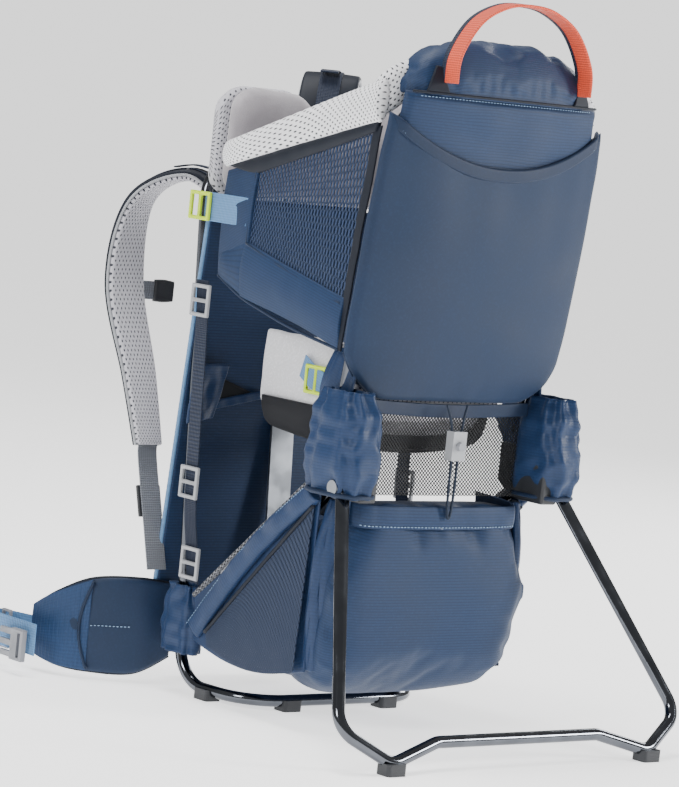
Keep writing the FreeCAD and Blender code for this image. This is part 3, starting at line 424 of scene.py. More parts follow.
def strap(name, stations, thick, material, wide=1.0, lift=0.0, steps=None, crown=0.0, rim=None, bend=None):
    """Tape or padded strap through stations of (place, direction across, full width in mm).

    lift moves it along its own face; crown thickens its middle; bend(u, v) moves a place along its face.
    """
    centres = [Vector(s[0]) for s in stations]
    across = [Vector(s[1]).normalized() for s in stations]
    widths = [Vector((s[2] * wide, 0, 0)) for s in stations]
    length = line_length(centres)
    broad = max(s[2] for s in stations) * wide

    known = {}

    def frame_at(v):
        if v not in known:
            ahead = catmull(centres, min(v + 0.01, 1.0)) - catmull(centres, max(v - 0.01, 0.0))
            way = catmull(across, v).normalized()
            known[v] = (catmull(centres, v), way * catmull(widths, v).x / 2, way.cross(ahead).normalized())
        return known[v]

    def centre(u, v):
        spot, reach, face = frame_at(v)
        return spot + reach * (2 * u - 1) + face * (lift + (bend(u, v) if bend else 0.0))

    def half(u, v):
        return thick / 2 * (1 + crown * (1 - (2 * u - 1) ** 2))

    count = (6 if crown == 0 else 14, steps or max(6, int(length / 8)))
    return pad(name, centre, half, (broad, length), count, material, rim or min(thick / 2, 6.0))


def cord_line(name, places, radius, material, cyclic=False, sides=8):
    """Round piping, thread or wire through places in mm, as a mesh."""
    spots = [Vector(p) for p in places]
    count = len(spots)
    points, weave, faces = [], [], []
    side = None
    run = 0.0
    for i, spot in enumerate(spots):
        before = spots[i - 1] if cyclic or i else spot
        after = spots[(i + 1) % count] if cyclic or i < count - 1 else spot
        heading = (after - before).normalized()
        if side is None:
            side = heading.orthogonal().normalized()
        side = (side - heading * side.dot(heading)).normalized()
        up = heading.cross(side)
        run += (spot - before).length
        for k in range(sides):
            turn = 2 * math.pi * k / sides
            points.append((spot + (side * math.cos(turn) + up * math.sin(turn)) * radius) * MM)
            weave.append((turn * radius * MM, run * MM))
    for i in range(count if cyclic else count - 1):
        j = (i + 1) % count
        for k in range(sides):
            n = (k + 1) % sides
            faces.append([i * sides + k, i * sides + n, j * sides + n, j * sides + k])
    if not cyclic:
        faces.append([k for k in reversed(range(sides))])
        faces.append([(count - 1) * sides + k for k in range(sides)])
    return link(name, points, faces, material, weave)


def stitches(name, places, material, radius=0.45, pitch=4.0, share=0.6, body="frame"):
    """Row of short thread lengths along a dense line of places."""
    points, faces, weave = [], [], []
    dense = [Vector(p) for p in places]
    run = 0.0
    spots = []
    for a, b in zip(dense, dense[1:]):
        step = (b - a).length
        while run <= step:
            spots.append((a.lerp(b, run / step), (b - a).normalized()))
            run += pitch
        run -= step
    for middle, heading in spots:
        side = heading.cross(Vector((0.3, 1.0, 0.2))).normalized()
        up = heading.cross(side).normalized()
        base = len(points)
        for along, fat in ((-0.5, 0.35), (-0.25, 1.0), (0.25, 1.0), (0.5, 0.35)):
            for k in range(6):
                turn = math.pi * k / 3
                spot = middle + heading * along * pitch * share
                spot = spot + (side * math.cos(turn) + up * math.sin(turn)) * radius * fat
                points.append(spot * MM)
                weave.append((along * MM, k * MM))
        for ring in range(3):
            for k in range(6):
                low = base + ring * 6
                faces.append([low + k, low + (k + 1) % 6, low + 6 + (k + 1) % 6, low + 6 + k])
        faces.append([base + k for k in reversed(range(6))])
        faces.append([base + 18 + k for k in range(6)])
    obj = link(name, points, faces, material, weave)
    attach(obj, body)
    return obj


def applied(obj):
    """Leave only the shape that the modifiers make."""
    bpy.context.view_layer.update()
    mesh = bpy.data.meshes.new_from_object(obj.evaluated_get(bpy.context.evaluated_depsgraph_get()))
    old = obj.data
    obj.modifiers.clear()
    obj.data = mesh
    bpy.data.meshes.remove(old)
    for face in obj.data.polygons:
        face.use_smooth = True
    return obj


def lay_weave(obj, mode):
    """Cloth coordinates of a remeshed piece, from its places."""
    mesh = obj.data
    old = mesh.attributes.get("weave")
    if old:
        mesh.attributes.remove(old)
    xs = [v.co for v in mesh.vertices]
    cx = sum(c.x for c in xs) / len(xs)
    cy = sum(c.y for c in xs) / len(xs)
    out = []
    for c in xs:
        if mode == "side":
            out += [c.y, c.z, 0.0]
        elif mode == "top":
            out += [c.x + 0.3 * c.y, c.z + c.y, 0.0]
        else:
            out += [c.x - cx + (c.y - cy), c.z - 0.3 * c.y, 0.0]
    spread = mesh.attributes.new("weave", "FLOAT_VECTOR", "POINT")
    spread.data.foreach_set("vector", out)


# Cloth settings shared by every simulated piece.
CLOTH_MASS, CLOTH_SHEAR, CLOTH_BEND = 0.15, 5.0, 0.3


def puff(obj, voxel=5.0, pressure=4.0, cap=12.0, slack=0.0, frames=18, mode="rear", keep=None, stiff=15.0):
    """Blow cloth up from a slightly small shape, cap how far it moves, and leave the result as the mesh.

    slack is the share by which the cloth is larger than the shape, which makes it gather; keep(point in mm)
    is True where it stays sewn down.
    """
    material = obj.data.materials[0]
    remesh = obj.modifiers.new("even", "REMESH")
    remesh.mode = "VOXEL"
    remesh.voxel_size = voxel * MM
    remesh.use_smooth_shade = True
    applied(obj)
    start = [v.co.copy() for v in obj.data.vertices]
    cloth_mod = obj.modifiers.new("puff", "CLOTH")
    made = cloth_mod.settings
    made.quality = 4
    made.mass = CLOTH_MASS
    made.use_pressure = True
    made.uniform_pressure_force = pressure
    made.tension_stiffness = stiff
    made.compression_stiffness = stiff
    made.shear_stiffness = CLOTH_SHEAR
    made.bending_stiffness = CLOTH_BEND
    made.shrink_min = -slack
    made.effector_weights.gravity = 0.0
    if keep:
        held = obj.vertex_groups.new(name="sewn")
        held.add([v.index for v in obj.data.vertices if keep(v.co / MM)], 1.0, "REPLACE")
        made.vertex_group_mass = "sewn"
    cloth_mod.point_cache.frame_start = 1
    cloth_mod.point_cache.frame_end = frames
    for number in range(1, frames + 1):
        SCENE.frame_set(number)
    applied(obj)
    SCENE.frame_set(1)
    limit = cap * MM
    for vertex, origin in zip(obj.data.vertices, start):
        move = vertex.co - origin
        if move.length > limit:
            vertex.co = origin + move * (limit / move.length)
    soften = obj.modifiers.new("soften", "SMOOTH")
    soften.iterations = 2
    soften.factor = 0.5
    finer = obj.modifiers.new("finer", "SUBSURF")
    finer.levels = 1
    finer.render_levels = 1
    applied(obj)
    lay_weave(obj, mode)
    obj.data.materials.clear()
    obj.data.materials.append(material)
    return obj


def onto(obj, body, *nodes, slot=None):
    """Ride a piece on a body and hide the nodes it replaces; slot is not used."""
    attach(obj, body)
    if nodes:
        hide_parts(*nodes)
    return obj


# ---------------------------------------------------------------- rear panel, head section, handle

# The seat hoop's tube: its Y at its base height, and how far it leans rearward for each unit of height.
HOOP_FOOT_Y, HOOP_LEAN, HOOP_BASE_Z = -100.0, 0.128, 300.0
# From the tube's centre plane to the cloth in front of it and behind it.
TUBE_GAP = 8.0
# Lower edge of the rear panel, and its pocket edge at the sides.
PANEL_LOW, PANEL_RIM = 344.0, 636.0
# How far the pocket edge sags in the middle.
POCKET_DIP = 52
# Lower edge of the head section's front, and the seam where the dome starts.
HEAD_LOW, SEAM_Z = 566.0, 655.0


def hoop_y(z):
    """Centre plane of the seat hoop's tube."""
    return HOOP_FOOT_Y - HOOP_LEAN * (z - HOOP_BASE_Z)


def rear_panel():
    """Large outer panel with its sagging pocket edge, rounded lower corners and taped rim."""
    half_width = ((344, 137), (372, 143), (430, 147), (500, 148), (580, 146), (640, 142))
    crown = ((344, 12), (372, 17), (440, 21), (500, 22), (580, 17), (640, 13))

    def rim_z(x):
        return PANEL_RIM - POCKET_DIP * (1 - min(1.0, abs(x) / 148) ** 2.1)

    def outline(u, v):
        s = 2 * u - 1
        low = PANEL_LOW + 44 * max(0.0, (abs(s) - 0.62) / 0.38) ** 2.2
        high = rim_z(s * 142)
        z = low + (high - low) * v
        return s * through(half_width, z), z

    def depth(x, z):
        share = min(1.0, abs(x) / through(half_width, z))
        return 10 + through(crown, z) * (1 - share ** 2.6)

    def centre(u, v):
        x, z = outline(u, v)
        fold = 1.6 * ease((v - 0.35) / 0.6) * wrinkle((x, 0, z * 0.16), 30, 3)
        fold += 1.0 * wrinkle((x * 0.6, 0, z), 70, 8)
        low_pull = 1.5 * ease((0.2 - v) / 0.2) * wrinkle((x * 1.4, 0, z * 0.5), 26, 5)
        y = hoop_y(z) - TUBE_GAP - depth(x, z) / 2 - fold - low_pull
        return x, y, z

    def half(u, v):
        x, z = outline(u, v)
        return depth(x, z) / 2

    body = pad("rear_panel", centre, half, (290, 275), (44, 40), PANEL, rim=9.0)
    onto(body, "frame", "headrest_panel", slot="blue_fabric")

    def edge(u, down, proud):
        s = 2 * u - 1
        x = s * 141
        z = rim_z(x) - down
        y = hoop_y(z) - TUBE_GAP - depth(x, z) - proud
        if abs(s) > 0.9:
            y += 9 * ((abs(s) - 0.9) / 0.1) ** 2
        return x, y, z

    def tape(u, v):
        return edge(u, 12 - 14 * v, -0.5)

    binding = pad("pocket_binding", tape, lambda u, v: 2.6, (300, 14), (44, 4), BINDING, rim=2.6)
    onto(binding, "frame", slot="dark_fabric")
    line = [edge(i / 120, 9.5, 1.6) for i in range(3, 118)]
    stitches("pocket_topstitch", line, STITCH)

    base = [outline(i / 60, 0.0) for i in range(61)]
    hem = [(x * 0.995, hoop_y(z) - TUBE_GAP - depth(x, z) * 0.35, z + 1.5) for x, z in base]
    onto(cord_line("panel_lower_piping", hem, 2.0, BINDING), "frame")


def head_section():
    """Ripstop front of the head section above the pocket edge, and the gathered dome on top."""
    def centre(u, v):
        s = 2 * u - 1
        z = HEAD_LOW + (SEAM_Z - HEAD_LOW) * v
        wide = 131 - 2 * v
        x = s * wide
        bow = 14 * (1 - abs(s) ** 3.0)
        crease = 1.4 * wrinkle((x, 0, z * 2.2), 42, 12)
        return x, hoop_y(z) - TUBE_GAP - 4 - bow / 2 - crease, z

    def half(u, v):
        s = 2 * u - 1
        return 5.5 + 7 * (1 - abs(s) ** 3.0)

    front = pad("head_front", centre, half, (262, 89), (40, 14), RIPSTOP, rim=9.0)
    onto(front, "frame", slot="blue_fabric")

    dome_low, dome_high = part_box("headrest_dome")
    low, high = SEAM_Z - 3, dome_high[2] / MM - 1
    rear = dome_low[1] / MM
    deep = (dome_high[1] - dome_low[1]) / MM + 10
    centre_y = rear + deep / 2 - 10

    def shell(share, turn):
        """share climbs from the seam to the crest; turn goes round."""
        rise = math.sin(share * math.pi / 2)
        narrow = math.cos(share * math.pi / 2)
        x = math.copysign(abs(math.cos(turn)) ** 0.6, math.cos(turn)) * 124 * narrow ** 0.85
        y = math.copysign(abs(math.sin(turn)) ** 0.7, math.sin(turn)) * (deep / 2 - 3) * narrow ** 0.5
        z = low + (high - low - 3) * rise
        flare = 11 * (1 - rise) * (1 - min(1.0, abs(x) / 126) ** 4) if y < 0 else 0.0
        return x, centre_y + y + 5 * rise - flare, z

    points, faces = [], []
    rings, around = 16, 72
    for j in range(rings):
        for i in range(around):
            x, y, z = shell(j / rings, 2 * math.pi * i / around)
            gather = 1.6 * math.sin(x / 5.2 + 2.4 * wrinkle((x, y, z), 25, 2)) * ease((j - 5) / 7)
            points.append((x * MM, (y + gather * 0.4) * MM, (z + gather) * MM))
    points.append((0, centre_y * MM, (high - 3) * MM))
    points.append((0, centre_y * MM, low * MM))
    for j in range(rings - 1):
        for i in range(around):
            k = (i + 1) % around
            faces.append([j * around + i, j * around + k, (j + 1) * around + k, (j + 1) * around + i])
    top, base = len(points) - 2, len(points) - 1
    for i in range(around):
        k = (i + 1) % around
        faces.append([(rings - 1) * around + i, (rings - 1) * around + k, top])
        faces.append([k, i, base])
    dome = link("head_dome", points, faces, RIPSTOP)
    puff(dome, voxel=4.5, pressure=4.0, cap=5.0, slack=0.06, mode="top",
         keep=lambda p: p.z < low + 8)
    onto(dome, "frame", "headrest_dome", slot="blue_fabric")

    seam = []
    for i in range(81):
        x = -124 + 248 * i / 80
        seam.append((x, hoop_y(SEAM_Z) - TUBE_GAP - 9 - 15 * (1 - abs(x / 128) ** 3.0), SEAM_Z))
    onto(cord_line("head_seam", seam, 1.3, DARK), "frame")
    stitches("head_topstitch", [(x, y - 0.4, z - 4) for x, y, z in seam[3:-3]], STITCH, radius=0.35)
    for side in (-1, 1):
        tab_top = (side * 97, rear - 1, 690)

        def tab(u, v, side=side):
            base_x = side * (84 + 26 * u)
            return (base_x + (tab_top[0] - base_x) * v * 0.8, rear - 13 + 6 * u * (1 - v) + 7 * v,
                    SEAM_Z + 1 + 26 * v)
        piece = pad("handle_tab_left" if side < 0 else "handle_tab_right", tab, lambda u, v: 1.6, (26, 26),
                    (8, 6), DARK, rim=1.6)
        onto(piece, "frame", slot="dark_fabric")


def carry_handle():
    """Ribbed bright tape with a navy tape sewn along its front edge."""
    low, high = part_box("grab_handle")
    middle = (low[1] + high[1]) / 2 / MM
    foot, crest = low[2] / MM + 1, high[2] / MM - 2
    shape = ((-1.0, 0.0), (-0.97, 0.34), (-0.72, 0.74), (-0.36, 0.95), (0.0, 1.0))
    line = list(shape) + [(-x, z) for x, z in reversed(shape[:-1])]
    bright = [((90 * x, middle - 2.5, foot + (crest - foot) * z), (0, -1, 0), 21.0) for x, z in line]
    navy = [((90.4 * x, middle + 9.2, foot + (crest - foot) * z), (0, -1, 0), 7.0) for x, z in line]
    inner = strap("handle_bright", bright, 3.0, WEB_CORAL, steps=64)
    onto(inner, "handle", "grab_handle", slot="coral_webbing")
    outer = strap("handle_edge", navy, 3.8, WEB_NAVY, steps=64)
    onto(outer, "handle", slot="dark_webbing")


def head_wings():
    """Spacer-mesh rolls that carry the padded rim on round the head section."""
    for tag, side in SIDES:
        line = [((side * 138, -122, 641), (0, 0, -side), 44),
                ((side * 127, -130, 652), (side * 0.2, 0, -side), 43),
                ((side * 110, -132, 664), (side * 0.4, 0, -side * 0.9), 38),
                ((side * 84, -132, 676), (side * 0.4, 0, -side * 0.9), 32),
                ((side * 62, -130, 682), (side * 0.4, 0, -side * 0.9), 26)]
        line = [(p, (a[0], a[1], -a[2]) if side > 0 else a, w) for p, a, w in line]
        roll = strap("head_wing_" + tag, line, 12.0, SPACER, crown=0.7, rim=8.0, steps=20)
        onto(roll, "frame", slot="white_mesh")


# ---------------------------------------------------------------- cockpit

def side_x(y, z):
    """Bulge of the side panel outward from its flat plane, in mm from the middle."""
    along = clamp((y + 140) / 240)
    up = clamp((z - 400) / 190)
    return 138.5 + 5.0 * math.sin(math.pi * along) * math.sin(math.pi * clamp(up, 0.05, 0.95))


def quad(corners, u, v):
    """Place in a four-cornered patch given as (y, z): low front, low rear, top rear, top front."""
    a, b, c, d = corners
    low = (a[0] + (b[0] - a[0]) * u, a[1] + (b[1] - a[1]) * u)
    top = (d[0] + (c[0] - d[0]) * u, d[1] + (c[1] - d[1]) * u)
    return low[0] + (top[0] - low[0]) * v, low[1] + (top[1] - low[1]) * v


def side_patch(name, side, corners, thick, material, crown=0.0, proud=0.0, count=(16, 12), rim=None, sag=0.0,
               seed=1):
    """Panel of the cockpit's side, following the common bulge."""
    def centre(u, v):
        y, z = quad(corners, u, v)
        z -= sag * math.sin(math.pi * u) * (1 - v)
        ripple = 0.9 * wrinkle((y, 0, z), 22, seed)
        puffy = crown * (1 - (2 * v - 1) ** 2) * (1 - (2 * u - 1) ** 4)
        return side * (side_x(y, z) + proud + puffy / 2 + ripple), y, z
    wide = math.dist(corners[0], corners[1])
    tall = math.dist(corners[0], corners[3])

    def half(u, v):
        return thick / 2 + crown / 2 * (1 - (2 * v - 1) ** 2)
    return pad(name, centre, half, (wide, tall), count, material, rim=rim or thick / 2)


def cockpit_side(side):
    """Window, cloth surround, taped edges and padded rim of one side."""
    tag = "left" if side < 0 else "right"
    body = "side_entry" if side < 0 else "frame"
    window = ((50, 481), (-108, 437), (-134, 615), (46, 558))
    net = side_patch("side_window_" + tag, side, window, 1.0, NET, count=(18, 14), rim=0.5)
    onto(net, body, "side_panel_" + tag, slot="dark_mesh")
    front = side_patch("side_front_" + tag, side, ((98, 446), (48, 476), (43, 566), (98, 553)), 3.0, RIPSTOP,
                       crown=3.0, proud=0.6, seed=4)
    onto(front, body, slot="blue_fabric")
    lower = side_patch("side_lower_" + tag, side, ((56, 425), (-109, 391), (-112, 443), (54, 484)), 3.0,
                       RIPSTOP, crown=5.0, proud=0.5, count=(30, 12), seed=6, sag=-3.0)
    onto(lower, body, slot="blue_fabric")
    corner = side_patch("side_corner_" + tag, side, ((97, 444), (54, 426), (52, 484), (92, 470)), 3.0,
                        RIPSTOP, crown=3.0, proud=0.9, seed=9)
    onto(corner, body, slot="blue_fabric")
    upper = side_patch("side_upper_" + tag, side, ((48, 553), (-134, 611), (-138, 623), (96, 558)), 4.0, DARK,
                       crown=3.0, proud=0.8, count=(30, 6), seed=2)
    onto(upper, body, slot="dark_fabric")
    back = side_patch("side_rear_" + tag, side, ((-104, 392), (-113, 389), (-140, 618), (-128, 614)), 3.0,
                      DARK, proud=0.2, count=(6, 24), seed=3)
    onto(back, body, slot="dark_fabric")
    taped = [quad(window, 0, i / 20) for i in range(20, -1, -1)]
    taped += [quad(window, i / 30, 0) for i in range(31)]
    proud = [(side * (side_x(y, z) + 2.4), y, z) for y, z in taped]
    onto(cord_line("window_tape_" + tag, proud, 1.3, BINDING), body)
    free = [(97, 444), (56, 426), (20, 416), (-30, 404), (-109, 391)]
    free = [catmull([(a, b, 0) for a, b in free], i / 40) for i in range(41)]
    onto(cord_line("side_free_edge_" + tag, [(side * (side_x(p.x, p.y) + 1.0), p.x, p.y) for p in free], 1.8,
                   BINDING), body)

    rim = []
    for y, height in ((100, 28), (70, 30), (-40, 38), (-100, 42), (-140, 44)):
        edge = 555 + (620 - 555) * (100 - y) / 240
        rim.append(((side * 140, y, edge + 1 + height / 2), (0, 0, 1), height))
    if side > 0:
        rim = [(p, (0, 0, -1), w) for p, a, w in rim]
    roll = strap("side_rim_" + tag, rim, 9.0, SPACER, crown=1.05, rim=9.0, steps=34)
    onto(roll, body, "rim_pad_" + tag, slot="white_mesh")


def chin_rest():
    """Soft front rest with a scooped top edge: brushed pile inside, spacer mesh toward the wearer."""
    low, high = 522.0, 641.0

    def block(name, half_x, y0, y1, corner, material):
        def centre(u, v):
            x = (2 * u - 1) * half_x
            near = clamp((abs(x) - half_x + corner) / corner)
            turn = corner * (1 - math.sqrt(max(0.0, 1 - near * near)))
            scoop = 30 * (1 - ease(abs(x) / 52))
            top = high - turn - scoop
            base = low + turn * 0.8
            return x, (y0 + y1) / 2 - 6 * (1 - (x / half_x) ** 2), base + (top - base) * v
        return pad(name, centre, lambda u, v: (y1 - y0) / 2, (2 * half_x, high - low), (44, 16), material,
                   rim=(y1 - y0) / 2)
    soft = block("chin_rest", 131, 107, 129, 30, VELOUR)
    puff(soft, voxel=5.0, pressure=4.0, cap=4.0, slack=0.02)
    onto(soft, "frame", "chin_pad", slot="grey_velour")
    mesh = block("chin_rest_front", 136, 126, 142, 34, SPACER_GREY)
    onto(mesh, "frame", slot="white_mesh")


def child_seat():
    """Cushions behind the child, seat, dark sling under it, cloth at its sides, and the harness."""
    for name, node, low, high, thick, start, fill in (
            ("head_cushion", "head_cushion", 481, 640, 22, 2.0, 0.6),
            ("child_back", "child_back_pad", 333, 474, 11, 1.5, 0.5)):
        def centre(u, v, low=low, high=high, thick=thick, start=start):
            z = low + (high - low) * v
            return 98 * (2 * u - 1), hoop_y(z) + TUBE_GAP + start + thick / 2, z
        piece = pad(name, centre, lambda u, v, t=thick: t / 2, (196, high - low), (22, 18), SPACER_GREY,
                    rim=thick / 2)
        if node == "head_cushion":
            puff(piece, voxel=6.0, pressure=4.0, cap=6.0, slack=0.02)
        onto(piece, "frame", node, slot="white_mesh")

    def wing(u, v):
        """u runs over the U section from wing to wing, v from rear to front."""
        section = [(-94, 394), (-96, 350), (-90, 316), (-50, 309), (0, 308), (50, 309), (90, 316), (96, 350),
                   (94, 394)]
        p = catmull([(x, z, 0) for x, z in section], u)
        y = -66 + 124 * v
        flare = 3 * wrinkle((p.x, y, p.y), 28, 6)
        return p.x + flare * 0.3, y, p.y + flare * 0.5 - 4 * math.sin(math.pi * v) * math.sin(math.pi * u)
    seat = pad("child_seat", wing, lambda u, v: 5.5 + 1.5 * math.sin(math.pi * u), (360, 124), (44, 18),
               SEAT_CLOTH, rim=5.0)
    onto(seat, "seat", "seat_pad", slot="white_mesh")

    def sling(u, v):
        section = [(-104, 326), (-102, 312), (-90, 296), (-50, 288), (0, 285), (50, 288), (90, 296),
                   (102, 312), (104, 326)]
        p = catmull([(x, z, 0) for x, z in section], u)
        return p.x, -72 + 120 * v, p.y - 5 * math.sin(math.pi * v) * math.sin(math.pi * u)
    under = pad("seat_sling", sling, lambda u, v: 1.8, (280, 120), (44, 14), LINING, rim=1.8)
    onto(under, "seat", slot="dark_fabric")
    for side in (-1, 1):
        tag = "left" if side < 0 else "right"
        corners = ((-66, 322), (-116, 256), (-128, 392), (-86, 392))

        def drape(u, v, side=side, corners=corners):
            y, z = quad(corners, u, v)
            fold = 2.4 * wrinkle((y * 1.8 + z * 0.5, 0, z * 0.5), 17, 91)
            return side * (122 + 6 * math.sin(math.pi * v) + fold), y, z
        cloth_side = pad("pod_side_" + tag, drape, lambda u, v: 1.5, (70, 100), (24, 24), SLEEVE, rim=1.5)
        onto(cloth_side, "frame", slot="blue_fabric")
        rows = []
        for z, off in ((640, 30), (560, 32), (490, 34), (430, 42), (372, 60)):
            rows.append(((side * 46, hoop_y(z) + TUBE_GAP + off, z), (side, 0, 0), 36))
        belt = strap("harness_" + tag, rows, 4.0, SPACER_GREY, crown=0.6, rim=2.5)
        onto(belt, "frame", "child_harness", slot="white_mesh")
        line = strap("harness_tape_" + tag, rows, 1.6, WEB_NAVY, wide=0.55, lift=side * 3.6)
        onto(line, "frame")
    buckle_y = hoop_y(400) + TUBE_GAP + 52
    shell = pad("harness_buckle", lambda u, v: (-26 + 52 * u, buckle_y, 362 + 40 * v),
                lambda u, v: 5.0 - 1.5 * math.sin(math.pi * u) * math.sin(math.pi * v), (52, 40), (14, 12),
                PLASTIC, rim=4.0)
    onto(shell, "frame", slot="black_plastic")


# ---------------------------------------------------------------- back and carrying straps

BACK_LEAN = 0.0746


def upright_y(z):
    """Rear face of the back panel at a height; the panel leans as the uprights do."""
    low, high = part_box("back_panel")
    return low[1] / MM + BACK_LEAN * (high[2] / MM - z)


def back_sheet(name, half_x, low, high, front, thick, material, count=(24, 30), belly=0.0, rim=None):
    """Cloth body parallel to the uprights; front is how far its rear face is from the panel's."""
    def centre(u, v):
        z = low + (high - low) * v
        x = (2 * u - 1) * half_x
        return x, upright_y(z) + front + thick / 2, z

    def half(u, v):
        return thick / 2 * (1 + belly * (1 - (2 * u - 1) ** 4) * (1 - (2 * v - 1) ** 4))
    return pad(name, centre, half, (2 * half_x, high - low), count, material, rim=rim or thick / 2)


def back_system():
    """Back panel with pale edge piping and mesh channels, lumbar pad and yoke."""
    panel = back_sheet("back_panel_cloth", 133, 96, 518, 0.2, 6.4, RIPSTOP, belly=0.15)
    onto(panel, "frame", "back_panel", slot="blue_fabric")
    for side in (-1, 1):
        tag = "left" if side < 0 else "right"
        edge = [(side * 133.5, upright_y(z) + 3.5, z) for z in range(100, 516, 8)]
        onto(cord_line("back_piping_" + tag, edge, 2.4, PIPING), "frame")
        channel = back_sheet("back_mesh_" + tag, 26, 150, 500, 6.8, 2.2, SPACER_GREY, count=(10, 26),
                             belly=0.4)
        channel.location.x = side * 84 * MM
        onto(channel, "frame", slot="white_mesh")
    lumbar = back_sheet("lumbar_cushion", 99, 29, 129, 10.0, 13.0, SPACER_GREY, count=(26, 14), belly=0.1,
                        rim=6.0)
    puff(lumbar, voxel=5.0, pressure=4.0, cap=4.0, slack=0.02)
    onto(lumbar, "frame", "lumbar_pad", slot="white_mesh")
    lane = []
    for i in range(81):
        turn = 2 * math.pi * i / 80
        x = math.copysign(abs(math.cos(turn)) ** 0.3, math.cos(turn)) * 84
        z = 79 + math.copysign(abs(math.sin(turn)) ** 0.4, math.sin(turn)) * 38
        lane.append((x, upright_y(z) + 10.0 + 14.5, z))
    onto(cord_line("lumbar_channel", lane[:-1], 1.2, DARK, cyclic=True), "frame")
    yoke = back_sheet("yoke_cover", 77, 480, 540, 9.0, 5.4, DARK, count=(20, 10), belly=0.1, rim=2.5)
    onto(yoke, "yoke", "yoke_plate", slot="dark_fabric")


# Shoulder straps as (place, direction across, share of the full width).
STRAP_LEFT = [((-50, 190, 512), (1, 0.3, 0), 0.9), ((-88, 226, 540), (1, 0.8, 0), 1.0),
              ((-126, 262, 508), (1, 0.6, 0), 1.0), ((-146, 250, 420), (1, 0.2, 0), 0.9),
              ((-146, 208, 325), (1, 0, 0), 0.68), ((-143, 184, 252), (1, 0, 0), 0.55)]
STRAP_RIGHT = [((50, 190, 512), (1, -0.1, 0), 0.9), ((58, 196, 592), (1, -0.4, 0), 1.0),
               ((84, 218, 656), (1, -0.9, 0), 1.0), ((116, 248, 634), (1, -0.9, 0), 1.0),
               ((140, 258, 545), (1, -0.4, 0), 0.95), ((146, 240, 465), (1, 0, 0), 0.8),
               ((145, 212, 385), (1, 0, 0), 0.6)]
STRAP_WIDTH = 62.0


def strap_place(stations, u, v, lift):
    """Place on a strap's face, in shares of its width and length."""
    centres = [Vector(s[0]) for s in stations]
    way = catmull([Vector(s[1]).normalized() for s in stations], v).normalized()
    wide = catmull([Vector((s[2], 0, 0)) for s in stations], v).x
    ahead = catmull(centres, min(v + 0.01, 1)) - catmull(centres, max(v - 0.01, 0))
    return catmull(centres, v) + way * wide * (u - 0.5) + way.cross(ahead).normalized() * lift


def strap_edges(stations, lift, inset):
    """Both long edges of a strap, for its piping."""
    centres = [Vector(s[0]) for s in stations]
    across = [Vector(s[1]).normalized() for s in stations]
    widths = [Vector((s[2], 0, 0)) for s in stations]
    runs = []
    for sign in (-1, 1):
        run = []
        for i in range(61):
            v = i / 60
            ahead = catmull(centres, min(v + 0.01, 1)) - catmull(centres, max(v - 0.01, 0))
            way = catmull(across, v).normalized()
            face = way.cross(ahead).normalized()
            aside = way * sign * (catmull(widths, v).x / 2 - inset)
            run.append(tuple(catmull(centres, v) + aside + face * lift))
        runs.append(run)
    return runs


def shoulder_straps():
    """Padded straps: navy outside, spacer mesh against the wearer, piping between them."""
    for tag, line in (("left", STRAP_LEFT), ("right", STRAP_RIGHT)):
        stations = [(p, a, STRAP_WIDTH * w) for p, a, w in line]
        ahead = Vector(stations[2][0]) - Vector(stations[1][0])
        out = Vector(stations[2][1]).cross(ahead)
        up = 1 if out.y > 0 or out.z > 0 else -1
        cover = strap("strap_cover_" + tag, stations, 5.0, DARK, lift=up * 2.8, crown=0.4, rim=3.0, steps=70)
        onto(cover, "yoke", "shoulder_strap_" + tag, slot="dark_fabric")
        lining = strap("strap_lining_" + tag, stations, 6.0, SPACER_GREY, lift=-up * 2.6, wide=0.94,
                       crown=0.45, rim=4.0, steps=70)
        onto(lining, "yoke", slot="white_mesh")
        for index, run in enumerate(strap_edges(stations, up * 0.2, 1.0)):
            onto(cord_line("strap_piping_%s_%d" % (tag, index), run, 1.7, PLASTIC_PALE), "yoke")
        dark_line = [(p, a, 24) for p, a, w in line[:5]]
        tape = strap("strap_tape_" + tag, dark_line, 1.4, WEB_NAVY, lift=up * 7.2, steps=50)
        onto(tape, "yoke", slot="dark_webbing")


